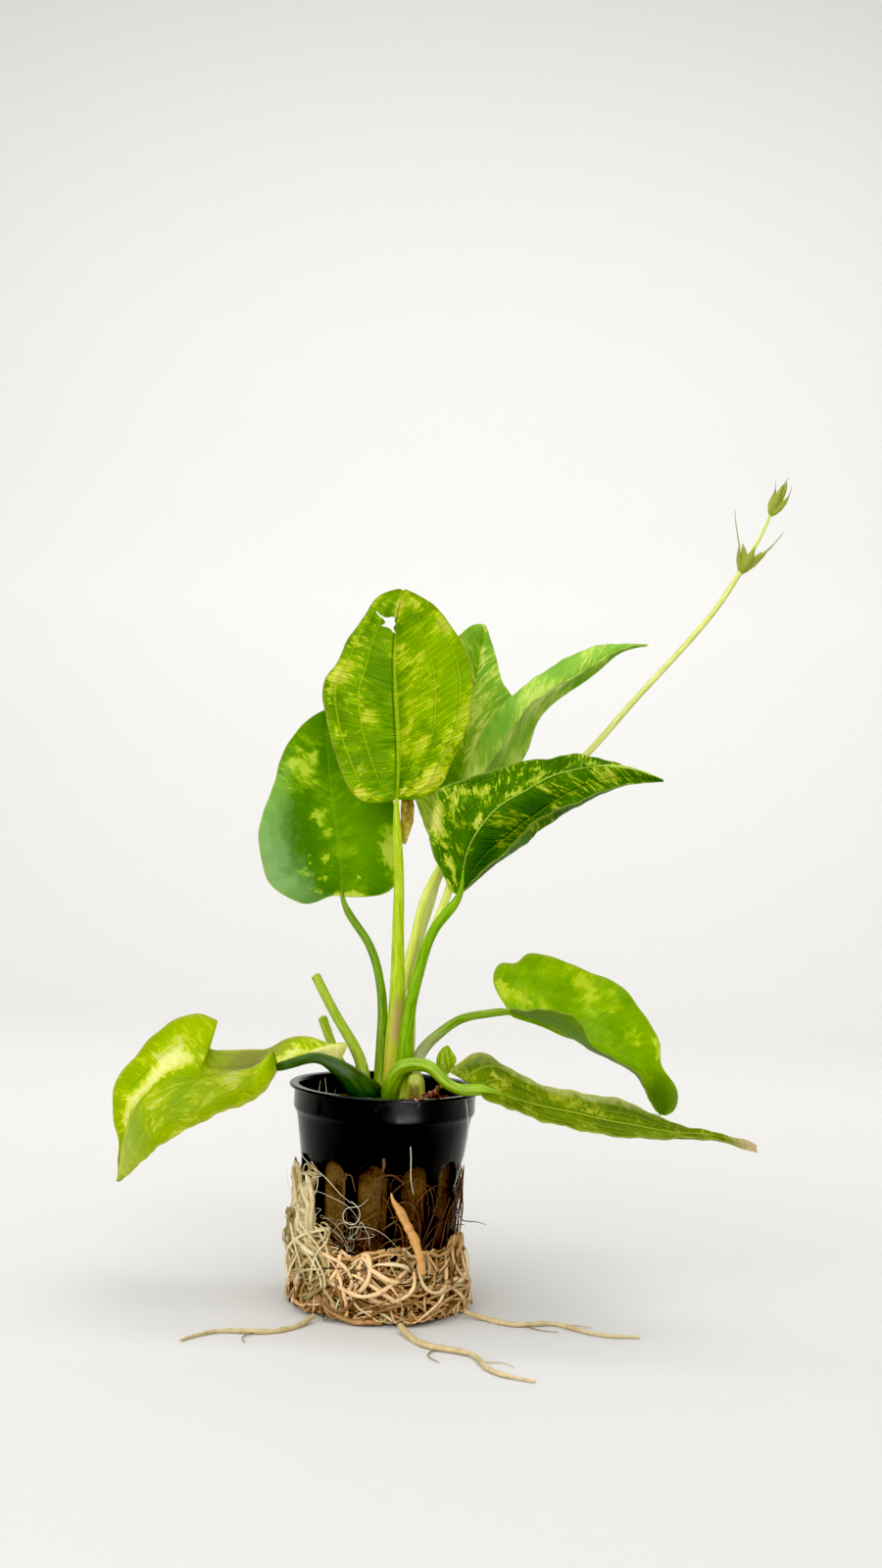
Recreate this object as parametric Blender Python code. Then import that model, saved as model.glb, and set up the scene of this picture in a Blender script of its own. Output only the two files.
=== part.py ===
"""An amazon sword plant (echinodorus) rooted in a small black net pot, for Blender 4.5.

Run it with blender --background --python part.py, or from Blender's text editor.
+Z is up, +X is to the right seen from the front and +Y points away from the viewer.
The origin is the middle of the pot's underside, on the surface that the pot stands on.
Lengths below are in millimetres, and MM turns them into Blender's metres.
"""

import math
from dataclasses import dataclass

import bmesh
import bpy
import numpy as np
from mathutils import Vector, noise

MM = 0.001
# Clear space left between two pieces that touch on the real plant
GAP = 0.3

# Net pot
POT_FLANGE_RADIUS = 25.0
POT_FLANGE_BOTTOM = 55.2
POT_TOP = 56.0
POT_COLLAR_RADIUS = 23.65
POT_COLLAR_BOTTOM = 49.8
# The curve under the collar: steps in from its lower edge
POT_COLLAR_CURVE = ((-0.95, -1.3), (-0.5, -0.4))
POT_SHOULDER_RADIUS = 22.35
POT_SHOULDER_HEIGHT = 46.0
POT_BODY_RADIUS = 21.1
POT_BODY_HEIGHT = 37.0
POT_BASE_RADIUS = 19.0
POT_WALL = 1.1
POT_FLOOR = 1.2
POT_SEGMENTS = 48
SLOT_COUNT = 12
SLOT_WIDTH = 7.4
SLOT_BOTTOM = 7.0
SLOT_TOP = 39.0
# The slot nearest the front is turned this far to the left of straight ahead
SLOT_TURN_DEG = -4.0
DRAIN_COUNT = 10
DRAIN_INNER_RADIUS = 8.5
DRAIN_OUTER_RADIUS = 15.5
DRAIN_WIDTH = 3.0

# Mineral wool that fills the pot, and the plant's crown on top of it
WOOL_CLEARANCE = 0.4
WOOL_TOP = 49.6
CROWN_CENTRE = (1.5, -1.0)
CROWN_RADII = (9.5, 7.5)
CROWN_BOTTOM = 49.9
CROWN_TOP = 53.2
# Every stalk on the crown starts here
STALK_BASE = CROWN_TOP + GAP
# The band of roots round the foot of the pot, thickest and tallest towards the right front
ROOT_MAT_CLEARANCE = 0.4
ROOT_MAT_FLOOR = 0.25
ROOT_MAT_THICKNESS = 2.6
ROOT_MAT_HEIGHT = 16.5
ROOT_MAT_FRONT_DEG = -50.0
ROOT_MAT_FRONT_EXTRA = (2.2, 2.0)
# The pale roots at the left: their sector, and (height, thickness) pairs from foot to top
PALE_ROOTS_FROM_DEG = 178.0
PALE_ROOTS_TO_DEG = 226.0
PALE_ROOTS_LEVELS = [(20.5, 1.6), (23, 2.4), (26.5, 2.8), (30.5, 2.5), (35, 1.8), (39.5, 0.7)]

LEAF_THICKNESS = 0.6
# A sheet is never thicker than this share of its width, so a folded tip doesn't cross itself
THIN_SHARE = 0.22
# A stalk is widest at its sheathing base and thins where it becomes the midrib
STALK_FLARE_SHARES = [0, 0.12, 0.3, 0.8, 1]
STALK_FLARE = [1.4, 1.25, 1.05, 0.95, 0.6]
STALK_TIP_SHARE = 0.6
# Rows of a blade are closer to its base along the midrib than along its margin
MIDRIB_PACE = 1.25

Point = tuple[float, float, float]


@dataclass
class Leaf:
    """A leaf's routes in millimetres, all from the blade's base to its tip.

    The left margin is the one on the left for someone looking along the leaf at its upper side.
    A bulge lists (share of the length, height) pairs: how far that half swells towards its
    upper side. A curl above 1 moves the bulge out towards the margin, for a cupped edge.
    """

    name: str
    stalk: list[Point]
    stalk_radius: float
    midrib: list[Point]
    left_margin: list[Point]
    right_margin: list[Point]
    left_bulge: list[tuple[float, float]]
    right_bulge: list[tuple[float, float]]
    colour: tuple[float, float, float]
    rows: int = 13
    columns: int = 3
    right_curl: float = 1.0
    # A lobe that stands clear of the blade's base starts its margin at its own corner
    left_lobe: bool = False
    right_lobe: bool = False
    first_share: float = 0.03
    last_share: float = 0.985


LEAVES = [
    Leaf(
        name="top_leaf",
        stalk=[(2, -1.5, STALK_BASE), (2, -2.5, 68.5), (2, -3.5, 83.5), (1.5, -4, 96.5), (1, -4.5, 111.5),
               (0, -5, 130)],
        stalk_radius=1.25,
        midrib=[(-0.5, -5, 130.5), (-0.5, -5.5, 141), (-2, -6, 157), (-3, -5.5, 172.5), (-1.5, -4, 186)],
        left_margin=[(1.5, -4.5, 130.5), (6.5, -3, 131.5), (10.5, -2.5, 134.5), (13, -1.5, 140),
                     (17, -1, 150.5), (18, -1, 158.5), (17, -1.5, 167.5), (11.5, -2.5, 177),
                     (8, -3, 181), (2.5, -3.5, 184.5)],
        right_margin=[(-2, -4.5, 130), (-5.5, -3.5, 129.5), (-10, -2.5, 130), (-14.5, -2, 135),
                      (-18, -0.5, 143.5), (-21, -1, 154), (-21.5, -1, 159), (-20.5, -1.5, 162.5),
                      (-18, -2, 166), (-16, -2.5, 171), (-11, -3.5, 179), (-8, -4, 183.5)],
        left_bulge=[(0, 0), (0.5, 0.8), (1, 0.5)],
        right_bulge=[(0, 0), (0.5, 0.8), (1, 0.5)],
        colour=(0.36, 0.50, 0.02),
        rows=16,
    ),
    Leaf(
        name="left_back_leaf",
        stalk=[(-1.2, 0.8, STALK_BASE), (-1.5, 3, 68), (-2, 5, 77), (-3, 6.5, 82.5), (-7, 10, 92.5),
               (-14, 14, 103.5)],
        stalk_radius=1.1,
        midrib=[(-14.5, 14, 104), (-15.5, 15, 113), (-17.5, 16.5, 124), (-20, 18.5, 137.5),
                (-21.5, 20.5, 148), (-22, 22, 155.5)],
        left_margin=[(-17.5, 14.5, 104), (-21, 15.5, 102.5), (-25, 16, 101.5), (-28.5, 16.5, 102.5),
                     (-32.5, 17.5, 104.5), (-35, 18.5, 106.5), (-38, 20, 114.5), (-39, 20.5, 119.5),
                     (-37.5, 21.5, 127.5), (-35.5, 22, 134.5), (-34, 22, 141), (-30, 22, 149),
                     (-25.5, 22.5, 153.5)],
        right_margin=[(-11, 13.5, 104), (-6.5, 13, 104.5), (-2, 12, 106), (0.5, 12, 109.5),
                      (1, 12, 116.5), (-0.5, 13, 126), (-4, 14.5, 135), (-9, 17, 144.5),
                      (-15, 19.5, 151.5)],
        left_bulge=[(0, 0), (0.1, 0), (0.5, 1.2), (1, 0.6)],
        right_bulge=[(0, 0), (0.1, 0), (0.5, -0.8), (1, -0.4)],
        colour=(0.26, 0.42, 0.03),
    ),
    Leaf(
        name="tall_back_leaf",
        stalk=[(2.4, 3.2, STALK_BASE), (2.5, 5, 67.5), (3, 8, 80), (5.5, 11, 93.5), (8, 13.5, 105),
               (11, 16, 113.5)],
        stalk_radius=1.1,
        midrib=[(11.5, 16.5, 114), (14.5, 20, 128), (17, 25, 145), (19, 29.5, 164.5), (21.5, 33.5, 183)],
        left_margin=[(10, 16.5, 117.5), (7.5, 16.5, 123), (4, 16, 131), (1.5, 17.5, 139.5),
                     (2, 20.5, 152), (4.5, 24, 165), (9.5, 27.5, 174.5), (14.5, 30, 179.5),
                     (18, 32, 182.5)],
        right_margin=[(13, 16, 114), (17.5, 16.5, 117.5), (22.5, 17, 126), (27, 19, 137),
                      (30.5, 21.5, 148), (31, 23.5, 156.5), (29.5, 25, 162), (27, 26.5, 165.5),
                      (25, 29.5, 172.5), (23, 32, 178.5)],
        left_bulge=[(0, 0), (0.5, 0.8), (1, 0.4)],
        right_bulge=[(0, 0), (0.5, 0.8), (1, 0.4)],
        colour=(0.30, 0.46, 0.06),
    ),
    Leaf(
        name="right_back_leaf",
        stalk=[(5.4, 1.6, STALK_BASE), (5.5, 4, 70), (6.5, 6, 83), (11, 7.5, 97.5), (14.5, 9, 108),
               (18, 10, 120)],
        stalk_radius=1.1,
        midrib=[(18.5, 10, 121), (24.5, 11.5, 130.5), (30, 13.5, 140), (34, 15, 147.5), (35.5, 16, 153),
                (41, 18, 160.5), (47.5, 20.5, 165.5), (54, 23, 171), (59, 25.5, 175.5),
                (69.5, 28.5, 178.5)],
        left_margin=[(16, 11.5, 123), (15, 14, 129.5), (16.5, 17, 137.5), (20.5, 19, 148.5),
                     (25.5, 21, 157.5), (32.5, 22.5, 164.5), (43, 25, 172.5), (53.5, 26.5, 177.5),
                     (62, 27.5, 178.5)],
        right_margin=[(17.5, 9, 123), (18.5, 6.5, 128.5), (21.5, 4.5, 137.5), (26.5, 5, 147),
                      (32, 6, 156), (38.5, 9, 162), (47, 13, 167.5), (54.5, 19, 173), (61.5, 24, 177)],
        left_bulge=[(0, 0), (0.5, 1.5), (1, 0.5)],
        right_bulge=[(0, 0), (0.5, 1.5), (1, 0.5)],
        colour=(0.26, 0.42, 0.05),
        last_share=0.955,
    ),
    Leaf(
        name="right_front_leaf",
        stalk=[(5, -4.5, STALK_BASE), (5, -6, 69), (5.5, -6.5, 76.5), (7.5, -7, 86.5), (11.5, -9.5, 98.5),
               (16.5, -12, 106)],
        stalk_radius=1.3,
        midrib=[(17, -12, 107), (17.5, -13, 113), (18.5, -14, 118.5), (21.5, -16, 124.5),
                (25.5, -18, 129.5), (31.5, -20, 133.5), (38, -23, 137.5), (44.5, -26, 139.5),
                (51.5, -29, 140.5), (58.5, -32, 139.5), (65.5, -35, 137)],
        left_margin=[(15, -11, 107), (13, -9.5, 110.5), (10.5, -8, 114.5), (9, -6, 118.5),
                     (8.5, -5, 123.5), (9, -4.5, 128.5), (10, -5.5, 133), (14, -6.5, 135.5),
                     (21.5, -9.5, 138), (29.5, -12.5, 141), (38, -16.5, 142.5), (45.5, -21.5, 143.5),
                     (51.5, -26, 142), (58.5, -30.5, 139.5)],
        right_margin=[(18, -13, 108), (21.5, -17, 112.5), (27, -21, 117.5), (31.5, -25.5, 123),
                      (35, -27.5, 126.5), (40.5, -30, 129.5), (46, -31.5, 132), (52.5, -32.5, 135),
                      (59.5, -33.5, 136.5)],
        left_bulge=[(0, 0), (0.1, 0), (0.5, -1.2), (1, -0.5)],
        right_bulge=[(0, 0), (0.15, -4), (0.35, -8.5), (0.6, -5), (1, -0.5)],
        colour=(0.05, 0.16, 0.01),
        rows=14,
        columns=4,
        right_curl=2.0,
        last_share=0.95,
    ),
    Leaf(
        name="right_middle_leaf",
        stalk=[(7.6, -0.4, STALK_BASE), (7.4, -0.2, 58), (9, 2, 64.5), (13.5, 3, 69.5), (19.5, 5, 73.5),
               (26, 6, 75), (31.5, 7, 75.5)],
        stalk_radius=0.9,
        midrib=[(32, 7, 75.5), (35, 7.5, 74.5), (41.5, 8, 72.5), (47.5, 8.5, 70), (55, 9, 68.5),
                (61.5, 9, 65.5), (66.5, 9, 63), (70.5, 8.5, 58.5), (72.5, 8, 54), (74, 7, 50)],
        left_margin=[(30.5, 10, 77.5), (28.5, 12, 80.5), (27.5, 14.5, 84), (29, 16, 87.5),
                     (33.5, 17.5, 88), (36.5, 18.5, 90.5), (41.5, 19, 90.5), (48, 19.5, 88.5),
                     (55.5, 19.5, 86), (62.5, 18.5, 83), (67, 17, 78.5), (71, 15.5, 73),
                     (73.5, 14, 67), (74, 12, 62.5), (77, 10.5, 58.5), (78, 9, 55), (77, 8, 51.5)],
        right_margin=[(32, 5, 76.5), (35.5, 1, 77), (40.5, -1.5, 77.5), (46.5, -3, 77),
                      (50, -3.5, 74.5), (53.5, -3, 69), (60, -2, 65.5), (65.5, 0, 62),
                      (69, 2.5, 56.5), (71, 5, 52.5)],
        left_bulge=[(0, 0), (0.1, 0), (0.5, -1.5), (1, -0.5)],
        right_bulge=[(0, 0), (0.1, 0), (0.5, -1.5), (1, -0.5)],
        colour=(0.16, 0.32, 0.02),
    ),
    Leaf(
        name="right_low_leaf",
        stalk=[(1.4, -6, STALK_BASE), (2.5, -7.5, 59), (4.5, -9, 62), (8.5, -10, 63), (11.5, -11, 62.5),
               (15.5, -12.5, 59.2), (19.5, -13.8, 57.7), (23.5, -14.8, 57.7)],
        stalk_radius=1.15,
        midrib=[(24, -14.5, 58), (32, -15, 56.5), (39, -16, 55), (47, -17, 54), (56, -18, 52.5),
                (64.5, -19, 51.5), (73.5, -20, 50.5), (82, -21, 50.5), (88, -22, 49.5),
                (93, -22, 48)],
        left_margin=[(22, -12.6, 59.4), (18.5, -10.8, 60.6), (16.5, -9.5, 61.5), (18, -8, 63),
                     (21, -6, 65), (24.5, -5, 66), (28.5, -5.5, 64.5), (32, -6, 62.5),
                     (38.5, -6.5, 59.5), (50.5, -8.5, 57.5), (64, -11, 55.5), (72, -15, 52.5),
                     (78.5, -17.5, 51.5), (86.5, -21, 50)],
        right_margin=[(25.5, -17.5, 56), (29, -20.5, 55.5), (34.5, -24, 54), (40.5, -25.5, 52.5),
                      (46.5, -26.5, 51.5), (55, -27.5, 50.5), (63.5, -26.5, 50), (73, -24.5, 50),
                      (81.5, -23.5, 50), (87.5, -23, 48.5)],
        left_bulge=[(0, 0), (0.1, 0), (0.5, -1.2), (1, -0.3)],
        right_bulge=[(0, 0), (0.1, 0), (0.5, -1), (1, -0.3)],
        colour=(0.20, 0.27, 0.02),
        last_share=0.965,
    ),
    Leaf(
        name="left_low_leaf",
        stalk=[(-3.4, -4, STALK_BASE), (-6.5, -5.5, 56), (-9, -7, 58.5), (-12, -9, 61), (-14.5, -10, 62.5),
               (-17.5, -11, 63.5), (-21.5, -12.3, 62.8), (-24.5, -13, 61.8), (-27, -12.8, 61.2)],
        stalk_radius=1.1,
        midrib=[(-27, -12.5, 61), (-32.5, -13, 59.5), (-39, -13.5, 59), (-46.5, -14, 58),
                (-53, -15, 57), (-59, -15.5, STALK_BASE), (-63, -15.5, 48), (-65, -15, 39.5),
                (-65.5, -14, 30.5)],
        left_margin=[(-27, -17, 60.5), (-28.5, -19.5, 57.5), (-31.5, -21.5, 54), (-36.5, -23.5, 52),
                     (-42, -25, 49.5), (-47.5, -26, 46.5), (-54, -24.5, 42), (-59, -20, 37)],
        right_margin=[(-12.5, -5.5, 61.5), (-11, -4.5, 64), (-10.5, -3.5, 66.5), (-13, -3, 66.5),
                      (-17, -2.5, 67), (-20.5, -2, 67.5), (-23.5, -1.5, 67.5), (-26.5, -1, 66.5),
                      (-29.5, -0.5, 65), (-33.5, 0.5, 63.5), (-38.5, 1, 63), (-43.5, 1, 62.5),
                      (-47, 0.5, 64), (-47.5, 0.5, 66.5), (-45, 0, 70), (-49, -1, 72),
                      (-54, -2.5, 71.5), (-59, -4.5, 68), (-62, -6.5, 64.5), (-65, -8.5, 60.5),
                      (-68.5, -10.5, 55.5), (-68.5, -12, 51), (-68, -13, 46), (-66.5, -13.5, 40.5),
                      (-66, -14.5, 35.5)],
        left_bulge=[(0, 5), (0.1, 5.5), (0.5, 4), (1, 1)],
        right_bulge=[(0, 1.5), (0.1, 0.5), (0.5, -4), (1, -2)],
        colour=(0.40, 0.50, 0.06),
        rows=20,
        left_lobe=True,
        right_lobe=True,
        first_share=0.01,
    ),
    Leaf(
        name="new_leaf",
        stalk=[(12.5, -5, 50), (13.5, -5, 56), (15, -5.5, 57.5), (16, -6, 59.5)],
        stalk_radius=0.5,
        midrib=[(16, -6, 60), (15, -5.5, 61.5), (14.5, -5, 64), (15, -4.5, 66), (16, -4, 67.5)],
        left_margin=[(14.5, -5, 60.5), (13, -4, 62.5), (13.5, -3.5, 65.5), (14.5, -3.5, 66.5)],
        right_margin=[(17.5, -7, 62.5), (18, -7.5, 64), (17, -6.5, 66)],
        left_bulge=[(0, 0), (1, 0)],
        right_bulge=[(0, 0), (1, 0)],
        colour=(0.40, 0.55, 0.08),
        rows=6,
        columns=2,
        first_share=0.08,
        last_share=0.95,
    ),
]


@dataclass
class Stem:
    """A round piece along a route: its points and its radius at each of them, in millimetres."""

    name: str
    route: list[Point]
    radii: list[float]
    colour: tuple[float, float, float]
    rings: int = 10
    sides: int = 7
    stands_flat: bool = False
    rounded: bool = False
    lump: float = 0.0


STALK_GREEN = (0.30, 0.50, 0.02)
FLOWER_GREEN = (0.58, 0.62, 0.20)
ROOT_CREAM = (0.72, 0.62, 0.36)
ROOT_TAN = (0.62, 0.38, 0.12)

STEMS = [
    Stem("cut_stalk_tall", [(-4.8, -0.6, STALK_BASE), (-6.5, 1, 60.5), (-13, 3, 71.5), (-20, 5, 83)],
         [1.5, 1.3, 1.25, 1.25], STALK_GREEN, stands_flat=True),
    Stem("cut_stalk_short",
         [(-7.4, 5.6, 50), (-8, 5.8, 55.5), (-11, 7, 58.5), (-14.5, 9, 63.5), (-18, 10, 71.5)],
         [1.3, 1.2, 1.15, 1.15, 1.2], STALK_GREEN, stands_flat=True),
    Stem("cut_stump", [(8.4, -9.6, 50), (8.2, -9.7, 56.5), (8, -9.8, 58.8), (7.8, -10, 60.5)],
         [1.8, 2.0, 1.9, 1.2], STALK_GREEN, stands_flat=True, rings=7, sides=10, rounded=True),
    Stem("flower_stem",
         [(5.5, 5.5, STALK_BASE), (6, 8, 70), (5.5, 11, 82.5), (7.5, 15, 95.5), (10, 18, 105),
          (11.5, 20, 110.5), (16, 21.5, 116.5), (23.5, 23, 123), (35.5, 24, 133), (45, 24, 140.5),
          (51.5, 24, 147), (62, 24, 160), (72, 23, 172), (81, 22, 183), (87, 21.5, 191.5),
          (91, 21, 198.5)],
         [1.3, 1.15, 1.1, 1.1, 1.1, 1.05, 1.05, 1.0, 1.0, 0.95, 0.95, 0.9, 0.85, 0.85, 0.8, 0.75],
         FLOWER_GREEN, rings=20, stands_flat=True),
    Stem("flower_whorl", [(91.4, 21, 199.2), (92.5, 21, 201.5), (93.8, 21, 203.8), (94.6, 21, 205.4)],
         [0.9, 2.0, 1.9, 0.7], FLOWER_GREEN, rings=7, sides=8, rounded=True, lump=0.25),
    Stem("flower_stem_tip", [(95, 21, 206), (97, 21, 210), (99, 20.5, 215)], [0.45, 0.4, 0.4],
         FLOWER_GREEN, rings=5, sides=6),
    Stem("top_buds",
         [(99.3, 20.5, 215.6), (100.5, 20.5, 219), (101.8, 20.5, 221.8), (102.6, 20, 223.5),
          (104, 20, 226.5)],
         [0.6, 1.9, 1.5, 0.9, 0.3], FLOWER_GREEN, rings=9, sides=8, rounded=True, lump=0.2),
    Stem("tan_root", [(3.7, -22.2, 31.2), (5.4, -22.3, 28.8), (7.4, -22.2, 25.3), (9.4, -22.6, 21.8),
                      (11, -23.6, 19)],
         [0.6, 0.9, 1.1, 1.15, 1.1], ROOT_TAN, rings=9, rounded=True),
    Stem("trailing_root_1", [(27.5, -13, 0.7), (36, -17, 0.7), (45, -15, 0.7), (54, -21, 0.7),
                             (66, -22, 0.7)],
         [0.6, 0.6, 0.55, 0.5, 0.35], ROOT_CREAM, rings=14, sides=6),
    Stem("trailing_root_2", [(9, -30, 0.8), (15, -38, 0.8), (24, -42, 0.8), (28, -52, 0.8),
                             (38, -58, 0.8)],
         [0.7, 0.7, 0.6, 0.55, 0.35], ROOT_CREAM, rings=14, sides=6),
    Stem("trailing_root_3", [(-17, -25, 0.7), (-25, -32, 0.7), (-36, -33, 0.7), (-44, -41, 0.7)],
         [0.6, 0.6, 0.5, 0.35], ROOT_CREAM, rings=12, sides=6),
    Stem("trailing_root_4", [(-8, 27.5, 0.7), (-14, 36, 0.7), (-10, 45, 0.7), (-17, 54, 0.7)],
         [0.6, 0.6, 0.5, 0.35], ROOT_CREAM, rings=12, sides=6),
]


def clear_scene() -> None:
    """Removes every object that the scene starts with."""
    for existing in list(bpy.data.objects):
        bpy.data.objects.remove(existing, do_unlink=True)


def make_material(name: str, colour: tuple[float, float, float], roughness: float) -> bpy.types.Material:
    """Makes a Principled material in one colour (linear) and roughness."""
    material = bpy.data.materials.new(name)
    material.use_nodes = True
    shader = material.node_tree.nodes["Principled BSDF"]
    shader.inputs["Base Color"].default_value = (*colour, 1.0)
    shader.inputs["Roughness"].default_value = roughness
    shader.inputs["Metallic"].default_value = 0.0
    material.diffuse_color = (*colour, 1.0)
    return material


def add_solid(name: str, vertices, faces, colour, roughness: float = 0.5,
              sharp_deg: float = 50.0) -> bpy.types.Object:
    """Makes a closed solid from vertices in millimetres, with its faces turned outwards."""
    mesh = bpy.data.meshes.new(name)
    mesh.from_pydata([tuple(float(value) * MM for value in vertex) for vertex in vertices], [], faces)
    shape = bmesh.new()
    shape.from_mesh(mesh)
    bmesh.ops.recalc_face_normals(shape, faces=shape.faces)
    shape.to_mesh(mesh)
    shape.free()
    mesh.materials.append(make_material(name, colour, roughness))
    mesh.shade_smooth()
    mesh.set_sharp_from_angle(angle=math.radians(sharp_deg))
    solid = bpy.data.objects.new(name, mesh)
    bpy.context.scene.collection.objects.link(solid)
    return solid


def smooth_route(points, count: int) -> np.ndarray:
    """Returns count evenly spaced points of the natural cubic curve through the given points."""
    places = np.array(points, float)
    steps = np.linalg.norm(np.diff(places, axis=0), axis=1)
    knots = np.concatenate([[0.0], np.cumsum(steps)])
    last = len(places) - 1
    system = np.eye(last + 1)
    sides = np.zeros((last + 1, 3))
    for i in range(1, last):
        system[i, i - 1] = steps[i - 1]
        system[i, i] = 2 * (steps[i - 1] + steps[i])
        system[i, i + 1] = steps[i]
        sides[i] = 6 * ((places[i + 1] - places[i]) / steps[i] - (places[i] - places[i - 1]) / steps[i - 1])
    bends = np.linalg.solve(system, sides)
    fine = np.linspace(0, knots[-1], 400)
    index = np.clip(np.searchsorted(knots, fine, side="right") - 1, 0, last - 1)
    step = steps[index][:, None]
    before = (knots[index + 1] - fine)[:, None] / step
    after = 1 - before
    curve = before * places[index] + after * places[index + 1]
    curve += ((before**3 - before) * bends[index] + (after**3 - after) * bends[index + 1]) * step**2 / 6
    walked = np.concatenate([[0.0], np.cumsum(np.linalg.norm(np.diff(curve, axis=0), axis=1))])
    wanted = np.linspace(0, walked[-1], count)
    return np.stack([np.interp(wanted, walked, curve[:, axis]) for axis in range(3)], axis=1)


def along(curve: np.ndarray, shares: np.ndarray) -> np.ndarray:
    """Returns the curve's points at these shares of its length."""
    own = np.linspace(0, 1, len(curve))
    return np.stack([np.interp(shares, own, curve[:, axis]) for axis in range(3)], axis=1)


def unit(vectors: np.ndarray) -> np.ndarray:
    """Scales vectors to length one."""
    return vectors / np.maximum(np.linalg.norm(vectors, axis=-1, keepdims=True), 1e-9)


def blade_surface(leaf: Leaf) -> np.ndarray:
    """Returns the blade's middle surface as rows of points from the right margin to the left one."""
    shares = np.linspace(leaf.first_share, leaf.last_share, leaf.rows)
    midrib = smooth_route(leaf.midrib, 201)
    middle = along(midrib, shares**MIDRIB_PACE)
    forward = along(unit(np.gradient(midrib, axis=0)), shares**MIDRIB_PACE)
    grid = np.zeros((leaf.rows, 2 * leaf.columns + 1, 3))
    grid[:, leaf.columns] = middle
    halves = ((1, leaf.left_margin, leaf.left_bulge, 1.0, leaf.left_lobe),
              (-1, leaf.right_margin, leaf.right_bulge, leaf.right_curl, leaf.right_lobe))
    for side, margin, bulge, curl, lobe in halves:
        start = [] if lobe else [leaf.midrib[0]]
        edge = along(smooth_route(start + margin + [leaf.midrib[-1]], 201), shares)
        across = edge - middle
        upwards = unit(np.cross(forward, across) * side)
        height = np.interp(shares, [pair[0] for pair in bulge], [pair[1] for pair in bulge])
        peak = (curl / (curl + 1)) ** curl / (curl + 1)
        for column in range(1, leaf.columns + 1):
            part = column / leaf.columns
            swell = height * part**curl * (1 - part) / peak
            grid[:, leaf.columns + side * column] = middle + part * across + upwards * swell[:, None]
    return grid


def two_sided_faces(rows: int, columns: int) -> list[tuple[int, ...]]:
    """Faces for a grid of vertices, the same grid again behind it, and the rim that joins them."""
    below = rows * columns
    faces = []
    for row in range(rows - 1):
        for column in range(columns - 1):
            corner = row * columns + column
            ring = (corner, corner + 1, corner + columns + 1, corner + columns)
            faces.append(ring)
            faces.append(tuple(index + below for index in reversed(ring)))
    rim = list(range(columns))
    rim += [row * columns + columns - 1 for row in range(1, rows)]
    rim += [(rows - 1) * columns + column for column in range(columns - 2, -1, -1)]
    rim += [row * columns for row in range(rows - 2, 0, -1)]
    for here, there in zip(rim, rim[1:] + rim[:1]):
        faces.append((there, here, here + below, there + below))
    return faces


def thick_sheet(grid: np.ndarray, thickness: float):
    """Turns a grid of points into a closed sheet, thinner where its rows are narrow."""
    rows, columns = grid.shape[:2]
    normals = unit(np.cross(np.gradient(grid, axis=0), np.gradient(grid, axis=1)))
    narrow = np.linalg.norm(grid[:, 0] - grid[:, -1], axis=1)
    offset = normals * (np.minimum(thickness, THIN_SHARE * narrow) / 2)[:, None, None]
    upper = (grid + offset).reshape(-1, 3)
    lower = (grid - offset).reshape(-1, 3)
    return np.vstack([upper, lower]), two_sided_faces(rows, columns)


def tube(curve: np.ndarray, radii: np.ndarray, sides: int, stands_flat: bool, rounded: bool, lump: float):
    """Sweeps a round section along a curve, with closed ends: its vertices and its faces."""
    forward = unit(np.gradient(curve, axis=0))
    if stands_flat:
        forward[0] = (0, 0, 1)
    across = unit(np.cross(forward[0], (0.0, 1.0, 0.0)) + np.array([1e-6, 0, 0]))
    vertices = []
    for ring, (centre, direction) in enumerate(zip(curve, forward)):
        across = unit(across - direction * np.dot(across, direction))
        other = np.cross(direction, across)
        for side in range(sides):
            angle = 2 * math.pi * side / sides
            reach = radii[ring]
            if lump:
                reach += lump * noise.noise(Vector(centre * 0.7) + Vector((side * 1.3, 0, 0)))
            vertices.append(centre + reach * (math.cos(angle) * across + math.sin(angle) * other))
    faces = []
    for ring in range(len(curve) - 1):
        for side in range(sides):
            following = (side + 1) % sides
            base = ring * sides
            faces.append((base + side, base + following, base + sides + following, base + sides + side))
    last = (len(curve) - 1) * sides
    bulge = 0.45 if rounded else 0.0
    vertices.append(curve[0] - (0 if stands_flat else bulge * radii[0]) * forward[0])
    vertices.append(curve[-1] + bulge * radii[-1] * forward[-1])
    for side in range(sides):
        following = (side + 1) % sides
        faces.append((len(vertices) - 2, following, side))
        faces.append((len(vertices) - 1, last + side, last + following))
    return vertices, faces


def build_stem(stem: Stem) -> None:
    """Builds a stalk, stem or root."""
    curve = smooth_route(stem.route, stem.rings)
    walked = np.linspace(0, 1, stem.rings)
    given = np.linalg.norm(np.diff(np.array(stem.route, float), axis=0), axis=1)
    marks = np.concatenate([[0.0], np.cumsum(given)]) / given.sum()
    radii = np.interp(walked, marks, stem.radii)
    vertices, faces = tube(curve, radii, stem.sides, stem.stands_flat, stem.rounded, stem.lump)
    add_solid(stem.name, vertices, faces, stem.colour)


def build_leaf(leaf: Leaf) -> None:
    """Builds a leaf's blade and its stalk, which stops just short of the blade."""
    vertices, faces = thick_sheet(blade_surface(leaf), LEAF_THICKNESS)
    add_solid(leaf.name + "_blade", vertices, faces, leaf.colour)
    curve = smooth_route(leaf.stalk, 120)
    remaining = np.linalg.norm(curve - np.array(leaf.midrib[0], float), axis=1)
    kept = curve[remaining > GAP + STALK_TIP_SHARE * leaf.stalk_radius]
    shares = np.linspace(0, 1, 9)
    radii = leaf.stalk_radius * np.interp(shares, STALK_FLARE_SHARES, STALK_FLARE)
    vertices, faces = tube(along(kept, shares), radii, 7, True, False, 0.0)
    add_solid(leaf.name + "_stalk", vertices, faces, STALK_GREEN)


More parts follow.
